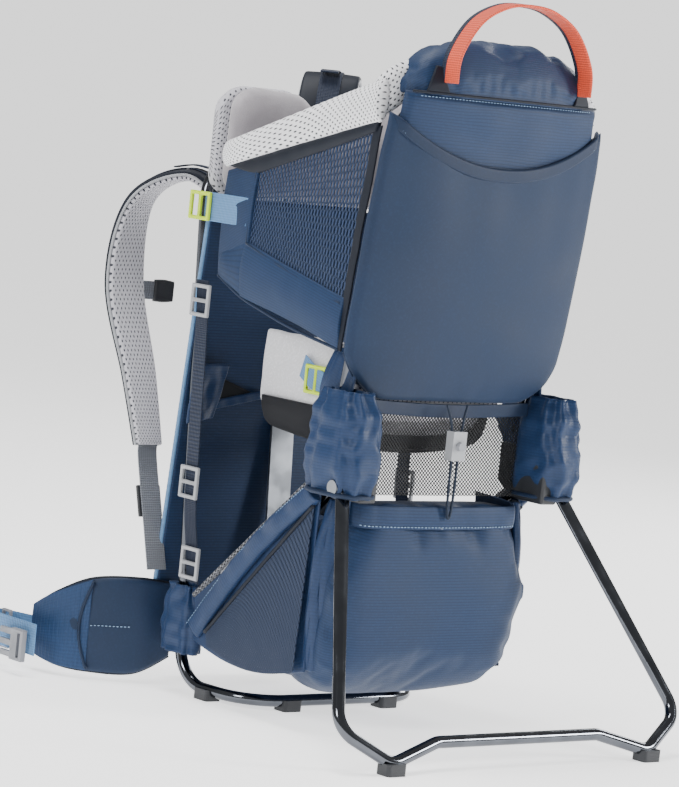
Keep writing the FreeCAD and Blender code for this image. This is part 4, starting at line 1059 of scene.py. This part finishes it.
def lifters_and_webs():
    """Load lifters, the lower webbing that slides through the frame, and the sternum strap."""
    for tag, side in SIDES:
        line = STRAP_LEFT if side < 0 else STRAP_RIGHT
        crest = max(line, key=lambda s: s[0][2])[0]
        over = (side * abs(crest[0]) * 0.98, crest[1], crest[2] + 11)
        across = (1, side * -0.8, 0)
        ends = [((side * (abs(crest[0]) - 14), crest[1] - 12, over[2] - 2), across, 20), (over, across, 20),
                ((side * (abs(crest[0]) + 14), crest[1] + 12, over[2] - 4), across, 20)]
        lifter = strap("load_lifter_" + tag, ends, 1.6, WEB_NAVY)
        onto(lifter, "yoke", *(("load_lifters",) if side < 0 else ()), slot="dark_webbing")
    for tag, line, side in (("left", STRAP_LEFT, -1), ("right", STRAP_RIGHT, 1)):
        end = Vector(line[-1][0]) + Vector((0, -1, -12))
        foot = Vector((side * 143, 147, 124))
        down = (end + Vector((0, 0, 14)), end, end.lerp(foot, 0.5), foot)
        web = strap("lower_web_" + tag, [(tuple(p), (1, 0, 0), 25) for p in down], 1.6,
                    WEB_GREY if side < 0 else WEB_NAVY, steps=40)
        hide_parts(*(("strap_webbing",) if side < 0 else ()))
        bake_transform(web)
    for tag, side in SIDES:
        node = "sternum_strap_" + tag
        low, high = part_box(node)
        inner, outer = (high[0], low[0]) if side < 0 else (low[0], high[0])
        turn = math.tan(math.radians(14.0))
        y0 = (low[1] + high[1]) / 2 / MM
        z0 = (low[2] + high[2]) / 2 / MM
        outer, inner = outer / MM, inner / MM
        mid = (outer + inner) / 2

        def place(x, y0=y0, mid=mid, side=side, z0=z0, turn=turn):
            return (x, y0 + side * (x - mid) * turn, z0)
        clip_start = outer + (inner - outer) * 0.56
        along = (outer + side * -2, mid, clip_start + (inner - outer) * 0.1)
        web = strap("sternum_web_" + tag, [(place(x), (0, 0, 1), 20) for x in along], 1.8, WEB_GREY)
        onto(web, "sternum_" + tag, node, slot="dark_webbing")
        clip = strap("sternum_clip_" + tag, [(place(clip_start), (0, 0, 1), 24),
                                             (place((clip_start + inner) / 2), (0, 0, 1), 25),
                                             (place(inner), (0, 0, 1), 22)], 7.0, PLASTIC, rim=2.2, steps=10)
        onto(clip, "sternum_" + tag, slot="black_plastic")


# ---------------------------------------------------------------- hip belt

# Rows of x, y, z and height along the fin.
FIN = ((112.0, 152.5, 68.0, 78.0), (150.0, 162.0, 61.0, 102.0), (190.0, 190.0, 58.0, 100.0),
       (212.0, 218.0, 51.0, 80.0), (219.0, 249.0, 45.0, 52.0))


def hip_belt():
    """Wrapped fins with a textured front, a lengthwise seam and a dart, and their webbing loops."""
    for tag, side in SIDES:
        body = "fin_" + tag
        stations = [((side * x, y, z), (0, 0, -side), tall) for x, y, z, tall in FIN]
        fin = strap("hip_fin_pad_" + tag, stations, 8.5, PANEL, crown=0.5, rim=6.0, steps=40,
                    bend=lambda u, v: 1.2 * wrinkle((v * 190, u * 80, 3), 30, 4))
        onto(fin, body, "hip_fin_" + tag, slot="blue_fabric")
        cover = strap("hip_fin_cover_" + tag, stations[2:], 2.4, WAFFLE, wide=0.98, lift=5.6, crown=0.4,
                      rim=1.4, steps=30, bend=lambda u, v: 0.8 * wrinkle((v * 90, u * 90, 3), 22, 4))
        onto(cover, body, slot="blue_fabric")
        inner = strap("hip_fin_mesh_" + tag, stations[:4], 3.0, SPACER_GREY, wide=0.9, lift=-5.2, crown=0.4,
                      rim=1.5, steps=34)
        onto(inner, body, slot="white_mesh")
        for index, run in enumerate(strap_edges(stations, 0.0, 0.6)):
            onto(cord_line("fin_binding_%s_%d" % (tag, index), run, 1.9, DARK), body)
        seam = [strap_place(stations, 0.03 + 0.94 * i / 24, 0.5 + 0.07 * math.sin(math.pi * i / 24), 7.6)
                for i in range(25)]
        onto(cord_line("fin_seam_" + tag, seam, 1.6, BINDING), body)
        dart = [strap_place(stations, 0.5, 0.3 + 0.2 * i / 12, 7.9) for i in range(13)]
        stitches("fin_dart_" + tag, dart, STITCH, radius=0.5, body=body)
        loop = [((side * 217, 238, 40), (0, 0, 1), 34), ((side * 222.5, 260, 40), (0, 0, 1), 34),
                ((side * 232.5, 292, 40), (0, 0, 1), 34), ((side * 242.5, 301.2, 40), (0, 0, 1), 34),
                ((side * 250.5, 296, 40), (0, 0, 1), 34), ((side * 251.6, 250, 40), (0, 0, 1), 34),
                ((side * 252, 201, 40), (0, 0, 1), 34)]
        web = strap("hip_web_" + tag, loop, 1.8, WEB_SKY if side < 0 else WEB_NAVY, steps=60)
        onto(web, body, "hip_webbing_" + tag, slot="light_webbing" if side < 0 else "dark_webbing")


# ---------------------------------------------------------------- storage

# Side outline of the bag as (y, z).
BAG_SIDE = ((98, 50), (98, 92), (8, 163), (-100, 243), (-130, 243), (-134, 138), (-122, 62), (-98, 40),
            (-58, 38), (-3, 46))


def storage_bag():
    """Sagging cloth bag under the seat with a turned hem, a row of stitches and a pleat at each side."""
    points, faces = [], []
    ring = []
    for a, b in zip(BAG_SIDE, BAG_SIDE[1:] + BAG_SIDE[:1]):
        steps = max(2, int(math.dist(a, b) / 10))
        ring += [(a[0] + (b[0] - a[0]) * i / steps, a[1] + (b[1] - a[1]) * i / steps) for i in range(steps)]
    middle = Vector((sum(p[0] for p in ring) / len(ring), sum(p[1] for p in ring) / len(ring)))
    shares = (-1.0, -0.97, -0.86, -0.6, -0.3, 0.0, 0.3, 0.6, 0.86, 0.97, 1.0)
    for s in shares:
        pull = 0.96 - 0.10 * max(0.0, (abs(s) - 0.8) / 0.2) ** 2
        for y, z in ring:
            spot = middle + (Vector((y, z)) - middle) * pull
            wide = linear(((40, 112), (90, 125), (150, 127), (205, 116), (243, 105)), spot.y)
            points.append((s * wide * MM, spot.x * MM, spot.y * MM))
    count = len(ring)
    for j in range(len(shares) - 1):
        for i in range(count):
            k = (i + 1) % count
            faces.append([j * count + i, (j + 1) * count + i, (j + 1) * count + k, j * count + k])
    faces.append([i for i in range(count)])
    faces.append([(len(shares) - 1) * count + i for i in reversed(range(count))])
    bag = link("bag_body", points, faces, RIPSTOP)
    puff(bag, voxel=6.0, pressure=3.2, cap=11.0, slack=0.05, frames=20, mode="rear",
         keep=lambda p: p.z > 228 and p.y > -118)
    onto(bag, "frame", "storage_bag", slot="blue_fabric")

    path = [(-108, -62, 0), (-111, -98, 0), (-107, -122, 0), (-88, -133, 0), (0, -137, 0), (88, -133, 0),
            (107, -122, 0), (111, -98, 0), (108, -62, 0)]

    def hem(u, v):
        spot = catmull(path, u)
        droop = 6.0 * math.sin(math.pi * u)
        gather = 1.5 * wrinkle((spot.x * 1.6, spot.y, 4), 14, 11)
        out = Vector((spot.x * 0.3, spot.y + 60, 0)).normalized() * (gather + 1.5 * math.sin(math.pi * v))
        return spot.x + out.x, spot.y + out.y, 243 - droop - 24 * (1 - v)
    band = pad("bag_hem", hem, lambda u, v: 1.5, (330, 24), (90, 6), RIPSTOP, rim=1.5)
    onto(band, "frame", slot="blue_fabric")
    row = [hem(i / 160, 0.12) for i in range(20, 141)]
    stitches("bag_hem_stitch", [(x, y - 1.9, z) for x, y, z in row], STITCH, radius=0.5, pitch=4.5)
    for tag, side in SIDES:
        rows = ((119, -112, 240, 22), (126, -112, 190, 30), (127, -106, 120, 26), (120, -94, 62, 16))
        pleat = [((side * x, y, z), (side * 0.6, 0.8, 0), wide) for x, y, z, wide in rows]
        fold = strap("bag_pleat_" + tag, pleat, 7.0, SLEEVE, crown=0.6, rim=4.0, steps=40,
                     bend=lambda u, v: 2.2 * wrinkle((v * 60, u * 60, 7), 12, 95))
        onto(fold, "frame", slot="blue_fabric")


def side_pockets():
    """Side gussets, mesh pockets, the toothed roll along each gusset's top, and the strut's cloth sleeve."""
    for tag, side in SIDES:
        corners = ((80, 62), (-94, 60), (-103, 264), (82, 106))

        def skin(u, v, side=side, corners=corners):
            y, z = quad(corners, u, v)
            fold = 1.3 * wrinkle((y + z * 0.8, 0, z - y * 0.8), 26, 15)
            inward = 10 * ease((clamp(u, 0.6, 1.0) - 0.6) / 0.4) * (1 - v)
            return side * (137.4 + fold * 0.7 - inward), y, z + 14 * math.sin(math.pi * u) * (v - 1)
        gusset = pad("gusset_" + tag, skin, lambda u, v: 1.6, (188, 190), (24, 24), SLEEVE, rim=1.6)
        onto(gusset, "frame", "side_gusset_" + tag, slot="blue_fabric")
        sack_corners = ((52, 60), (-92, 60), (-99, 232), (56, 74))

        def sack(u, v, side=side, corners=sack_corners):
            y, z = quad(corners, u, v)
            swell = 3.2 * math.sin(math.pi * clamp(u)) * math.sin(math.pi * clamp(v * 0.9))
            fold = 1.1 * wrinkle((y * 1.4 - z, 0, z), 24, 18)
            return side * (140.6 + swell + fold * 0.6), y, z + 12 * math.sin(math.pi * u) * (v - 1)
        net = pad("mesh_pocket_" + tag, sack, lambda u, v: 0.5, (150, 130), (24, 20), NET_POCKET, rim=0.5)
        onto(net, "frame", *(("mesh_pockets",) if side < 0 else ()), slot="dark_mesh")
        top = [Vector(sack(i / 40, 1.0)) + Vector((side * 0.8, 0, 0)) for i in range(41)]
        onto(cord_line("pocket_rim_" + tag, [tuple(p) for p in top], 2.2, DARK), "frame")
        edge = [(side * (137 + 2.5 * math.sin(math.pi * i / 30)), 84 - 188 * i / 30,
                 linear(((-104, 270), (8, 172), (84, 108)), 84 - 188 * i / 30)) for i in range(31)]
        onto(cord_line("gusset_roll_" + tag, edge, 3.6, SPACER_DARK, sides=12), "frame")
        stitches("gusset_roll_teeth_" + tag, [(x + side * 2.6, y, z + 1.6) for x, y, z in edge], PLASTIC,
                 radius=1.0, pitch=4.2, share=0.45)
        diagonal = []
        for i in range(8):
            share = i / 7
            diagonal.append(((side * (141.5 + 1.5 * math.sin(math.pi * share)), 74 - 172 * share,
                              74 + 172 * share + 12 * math.sin(math.pi * share)), (0, 0.7, 0.72), 23))
        band = strap("strut_cover_" + tag, diagonal, 11.0, SLEEVE, crown=0.35, rim=6.0, steps=60,
                     bend=lambda u, v: 1.4 * wrinkle((v * 230, u * 14, 0), 15, 21))
        onto(band, "frame", *(("strut_sleeves",) if side < 0 else ()), slot="blue_fabric")
        row = [(side * 149.0, y + 4, z + 6) for (x, y, z), _, _ in diagonal]
        row = [tuple(catmull(row, i / 60)) for i in range(61)]
        stitches("strut_stitch_" + tag, row, STITCH, radius=0.35)


# Height of the hinge covers' lower hems.
HINGE_HEM_Z = 247.0


def gathered_tube(name, centre, radii, low, high, material, seed, amplitude=2.2, folds=9, around=56, rings=34,
                  thick=1.6):
    """Loose cloth tube with vertical gathers; radii are half sizes in X and Y at shares of the height."""
    points, weave, faces = [], [], []
    for layer in (0.0, -thick):
        for j in range(rings + 1):
            v = j / rings
            z = low + (high - low) * v
            rx, ry = through(radii, v)[0] + layer, through(radii, v)[1] + layer
            for i in range(around):
                turn = 2 * math.pi * i / around
                drift = wrinkle((math.cos(turn) * 20, math.sin(turn) * 20, z), 26, seed)
                fold = amplitude * math.sin(folds * turn + 3 * drift)
                fold *= 0.35 + 0.65 * abs(2 * v - 1)
                fold += amplitude * 0.8 * wrinkle((rx * math.cos(turn), ry * math.sin(turn), z * 1.5), 14,
                                                  seed + 1)
                square = 0.72
                cx = math.copysign(abs(math.cos(turn)) ** square, math.cos(turn)) * (rx + fold)
                cy = math.copysign(abs(math.sin(turn)) ** square, math.sin(turn)) * (ry + fold)
                points.append(((centre(z)[0] + cx) * MM, (centre(z)[1] + cy) * MM, z * MM))
                weave.append((turn * rx * MM, z * MM))
    size = (rings + 1) * around
    for j in range(rings):
        for i in range(around):
            k = (i + 1) % around
            outer = [j * around + i, j * around + k, (j + 1) * around + k, (j + 1) * around + i]
            faces.append(outer)
            faces.append([size + n for n in reversed(outer)])
    for j in (0, rings):
        for i in range(around):
            k = (i + 1) % around
            lip = [j * around + k, j * around + i, size + j * around + i, size + j * around + k]
            faces.append(lip if j == 0 else lip[::-1])
    return link(name, points, faces, material, weave)


def sleeves():
    """Cloth covers gathered round the stand's hinges and the frame's lower corners."""
    for tag, side in SIDES:
        low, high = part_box("hinge_sleeve_" + tag)
        mid_x, mid_y = (low[0] + high[0]) / 2 / MM, (low[1] + high[1]) / 2 / MM
        half_x, half_y = (high[0] - low[0]) / 2 / MM, (high[1] - low[1]) / 2 / MM
        mid_x += side * 3
        half_x += 5
        radii = ((0.0, Vector((half_x - 5, half_y - 6))), (0.3, Vector((half_x + 1, half_y + 1))),
                 (0.75, Vector((half_x - 2, half_y - 3))), (1.0, Vector((half_x - 11, half_y - 12))))
        cover = gathered_tube("hinge_cover_" + tag, lambda z, x=mid_x, y=mid_y: (x, y), radii, HINGE_HEM_Z,
                              high[2] / MM + 12, SLEEVE, 31 + side, amplitude=3.0)
        onto(cover, "frame", "hinge_sleeve_" + tag, slot="blue_fabric")
        ring = []
        for i in range(48):
            turn = 2 * math.pi * i / 48
            cx = math.copysign(abs(math.cos(turn)) ** 0.72, math.cos(turn)) * (half_x - 1.5)
            cy = math.copysign(abs(math.sin(turn)) ** 0.72, math.sin(turn)) * (half_y - 4.5)
            ring.append((mid_x + cx, mid_y + cy, HINGE_HEM_Z + 3))
        onto(cord_line("hinge_hem_" + tag, ring, 2.4, BINDING, cyclic=True), "frame")
        base = ((0.0, Vector((13, 24))), (0.3, Vector((14, 26))), (0.7, Vector((13.5, 25))),
                (1.0, Vector((11, 19))))
        boot = gathered_tube("corner_cover_" + tag, lambda z, s=side: (s * 132, 106), base, 44, 116, SLEEVE,
                             51 + side, amplitude=2.6, folds=7)
        onto(boot, "frame", *(("corner_sleeves",) if side < 0 else ()), slot="blue_fabric")


def rear_net():
    """Stretched net between the panel and the bag, with a dark band along its top edge as painted shade under
    the panel.
    """
    def skin(u, v):
        x = (2 * u - 1) * 105
        z = 246 + 94 * v
        y = -121 + 4.5 * math.sin(math.pi * u) * math.sin(math.pi * v) + 0.7 * wrinkle((x, 0, z), 30, 71)
        return x, y, z
    net = pad("rear_net", skin, lambda u, v: 0.5, (210, 94), (26, 14), NET_REAR, rim=0.5)
    onto(net, "frame", "rear_mesh_panel", slot="dark_mesh")

    # Painted shade: this dark band stands in for the shade under the rear panel's lower edge.
    def painted_shade_band(u, v):
        x = (2 * u - 1) * 112
        return x, -123.5 + 1.2 * wrinkle((x, 0, v * 20), 24, 73), 331 + 14 * v - 4 * math.sin(math.pi * u)
    band = pad("net_top_band", painted_shade_band, lambda u, v: 1.4, (224, 15), (30, 5), BINDING, rim=1.4)
    onto(band, "frame", slot="blue_fabric")


def drawcord():
    """The drawcord follows the route of its solid from the hem to the eyelet and back."""
    route = ((-14, -140, 341.5), (-4, -144, 323.5), (-4, -144, 226), (4, -144, 226), (4, -144, 323.5),
             (14, -140, 341.5))
    curve = bpy.data.curves.new("draw_cord", "CURVE")
    curve.dimensions = "3D"
    curve.bevel_depth = 1.4 * MM
    curve.bevel_resolution = 3
    curve.use_fill_caps = True
    spline = curve.splines.new("NURBS")
    spline.points.add(len(route) - 1)
    for point, place in zip(spline.points, route):
        point.co = (place[0] * MM, place[1] * MM, place[2] * MM, 1)
    spline.order_u = 3
    spline.use_endpoint_u = True
    spline.resolution_u = 16
    curve.materials.append(CORD)
    cord = bpy.data.objects.new("draw_cord", curve)
    bpy.context.collection.objects.link(cord)
    onto(cord, "frame", "drawcord", slot="cord")


# ---------------------------------------------------------------- fittings and node finishes

def side_webbing():
    """Webbing and flap pocket down each side of the frame; entry and seat tapes on the left."""
    line = ((114.0, 436.0), (108.0, 380.0), (98.0, 215.0), (88.0, 160.0), (80.0, 122.0))
    low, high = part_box("frame_webbing")
    for tag, side in SIDES:
        x = (high[0] / MM - 0.8) * side
        rows = [((x, y, z), (0, side, 0), 20) for y, z in line]
        web = strap("frame_web_" + tag, rows, 1.6, WEB_NAVY, steps=60)
        onto(web, "frame", *(("frame_webbing",) if side < 0 else ()), slot="dark_webbing")

        def flap(u, v, side=side):
            x = side * (144 - 50 * u * (1 - 0.25 * (1 - v)))
            z = 284 + 64 * v + 6 * u * (1 - v)
            fold = 2.2 * wrinkle((x * 1.3, 0, z), 14, 83)
            return x, upright_y(z) - 25 + 7 * u - fold, z
        pocket = pad("flap_pocket_" + tag, flap, lambda u, v: 2.0, (50, 64), (18, 20), SLEEVE, rim=2.0)
        onto(pocket, "frame", slot="blue_fabric")

        def slot_face(u, v, side=side):
            x = side * (100 - 62 * u)
            z = 318 + (2 * v - 1) * 17 * (1 - u) - 4 * u
            return x, upright_y(z) - 3.0, z
        opening = pad("flap_slot_" + tag, slot_face, lambda u, v: 1.2, (62, 30), (12, 8), LINING, rim=1.2)
        onto(opening, "frame", slot="dark_fabric")

        def lip_face(u, v, side=side):
            x = side * (104 - 70 * u)
            z = 296 + 10 * v + 14 * u
            return x, upright_y(z) - 5.0 - 1.5 * wrinkle((x, 0, z), 12, 86), z
        lip = pad("flap_lip_" + tag, lip_face, lambda u, v: 2.2, (70, 12), (20, 6), SLEEVE, rim=2.0)
        onto(lip, "frame", slot="blue_fabric")
    low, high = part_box("entry_strap_left")
    x = low[0] / MM + 1.2
    rows = [((x, y, 513), (0, 0, 1), 30) for y in (52, 80, 110, 124)]
    tape = strap("entry_tape", rows, 1.6, WEB_SKY, steps=30)
    onto(tape, "side_entry", "entry_strap_left", slot="light_webbing")
    low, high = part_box("seat_buckle_left")
    mid_y, mid_z = (low[1] + high[1]) / 2 / MM, (low[2] + high[2]) / 2 / MM
    x = (low[0] + high[0]) / 2 / MM
    path = ((2.6, -32, -10), (0.2, -8, -2), (-0.2, 6, 3), (2.4, 26, 12))
    rows = [((x + dx, mid_y + dy, mid_z + dz), (0, -0.3, 1), 24) for dx, dy, dz in path]
    web = strap("seat_tape", rows, 1.5, WEB_SKY, steps=30)
    onto(web, "seat", slot="light_webbing")


# The CAD nodes that still show, by the material each takes.
FINISHES = (
    (TUBE, ("main_frame", "seat_frame", "kickstand", "side_strut_left", "side_strut_right")),
    (RAIL, ("back_rail", "hinge_pins", "eyelet")),
    (PLASTIC, ("hinge_bracket_left", "hinge_bracket_right", "base_feet", "kickstand_feet", "strap_slides")),
    (PLASTIC_PALE, ("ladder_locks", "cord_lock")),
    (PLASTIC_GREY, ("hip_ring_left", "hip_ring_right", "hip_buckle_male", "hip_buckle_female",
                    "cord_lock_button", "bag_zip_slider")),
    (PLASTIC_LIME, ("entry_buckle_left", "seat_buckle_left")),
)


def finish_nodes():
    """Give every CAD node that still shows its own material."""
    for finish, nodes in FINISHES:
        for node in nodes:
            obj = bpy.data.objects[node]
            if not obj.material_slots:
                obj.data.materials.append(finish)
            for part in obj.material_slots:
                part.material = finish


# ---------------------------------------------------------------- studio

# Light from the surroundings, the floor's own glow and the floor's albedo.
SURROUND, FLOOR_GLOW, FLOOR_SHADE = 0.3, 1.25, 0.93
FLOOR_REACH = 40.0
# Name, place in metres, size in metres and power in watts.
LAMPS = (("key", (2.1, -2.0, 1.1), 0.7, 70.0), ("rim", (2.4, 0.8, 1.4), 0.8, 30.0),
         ("fill", (-2.6, -0.5, 1.7), 0.8, 46.0), ("top", (-0.3, 0.3, 2.6), 0.9, 55.0))


def studio():
    """Plain pale floor, white surroundings and soft area lights."""
    mesh = bpy.data.meshes.new("studio_floor")
    reach = FLOOR_REACH
    mesh.from_pydata([(-reach, -reach, 0), (reach, -reach, 0), (reach, reach, 0), (-reach, reach, 0)], [],
                     [(0, 1, 2, 3)])
    floor_finish = bpy.data.materials.new("studio_floor")
    floor_finish.use_nodes = True
    bsdf = floor_finish.node_tree.nodes["Principled BSDF"]
    bsdf.inputs["Base Color"].default_value = (FLOOR_SHADE, FLOOR_SHADE, FLOOR_SHADE, 1)
    bsdf.inputs["Emission Color"].default_value = (1.0, 1.0, 1.0, 1)
    bsdf.inputs["Emission Strength"].default_value = FLOOR_GLOW
    bsdf.inputs["Roughness"].default_value = 0.9
    mesh.materials.append(floor_finish)
    floor = bpy.data.objects.new("studio_floor", mesh)
    bpy.context.collection.objects.link(floor)
    world = bpy.data.worlds.new("studio")
    world.use_nodes = True
    world.node_tree.nodes["Background"].inputs["Color"].default_value = (1.0, 1.0, 1.0, 1)
    tree = world.node_tree
    lit = tree.nodes["Background"]
    lit.inputs["Strength"].default_value = SURROUND
    seen = tree.nodes.new("ShaderNodeBackground")
    seen.inputs["Color"].default_value = (1.0, 1.0, 1.0, 1)
    seen.inputs["Strength"].default_value = FLOOR_GLOW + FLOOR_SHADE * SURROUND
    pick = tree.nodes.new("ShaderNodeMixShader")
    path = tree.nodes.new("ShaderNodeLightPath")
    tree.links.new(path.outputs["Is Camera Ray"], pick.inputs[0])
    tree.links.new(lit.outputs[0], pick.inputs[1])
    tree.links.new(seen.outputs[0], pick.inputs[2])
    tree.links.new(pick.outputs[0], tree.nodes["World Output"].inputs["Surface"])
    SCENE.world = world
    middle = Vector((0.0, 0.0, 0.38))
    for name, place, size, power in LAMPS:
        light = bpy.data.lights.new(name, "AREA")
        light.energy = power
        light.size = size
        lamp = bpy.data.objects.new(name, light)
        lamp.location = place
        lamp.rotation_euler = (middle - Vector(place)).to_track_quat("-Z", "Y").to_euler()
        bpy.context.collection.objects.link(lamp)


# Point looked at and distance in metres; lens in mm.
CAMERA_TARGET, CAMERA_DISTANCE, CAMERA_LENS = (0.0, 0.048, 0.329), 3.808, 164.68


def camera():
    """Long lens behind the left shoulder, a little above, with a slight roll."""
    target = Vector(CAMERA_TARGET)
    azimuth, pitch, roll = math.radians(40), math.radians(5), math.radians(6)
    level = math.cos(pitch)
    toward = Vector((math.sin(azimuth) * level, math.cos(azimuth) * level, -math.sin(pitch)))
    data = bpy.data.cameras.new("camera")
    data.sensor_fit = "VERTICAL"
    data.sensor_height = 36.0
    data.lens = CAMERA_LENS
    data.clip_end = 50.0
    view = bpy.data.objects.new("camera", data)
    view.matrix_world = (Matrix.Translation(target - toward * CAMERA_DISTANCE)
                         @ toward.to_track_quat("-Z", "Y").to_matrix().to_4x4()
                         @ Matrix.Rotation(roll, 4, "Z"))
    bpy.context.collection.objects.link(view)
    SCENE.camera = view


rear_panel()
head_section()
head_wings()
carry_handle()
cockpit_side(-1)
cockpit_side(1)
chin_rest()
child_seat()
back_system()
shoulder_straps()
lifters_and_webs()
hip_belt()
storage_bag()
side_pockets()
sleeves()
rear_net()
drawcord()
side_webbing()
finish_nodes()
studio()
camera()

bpy.context.view_layer.update()
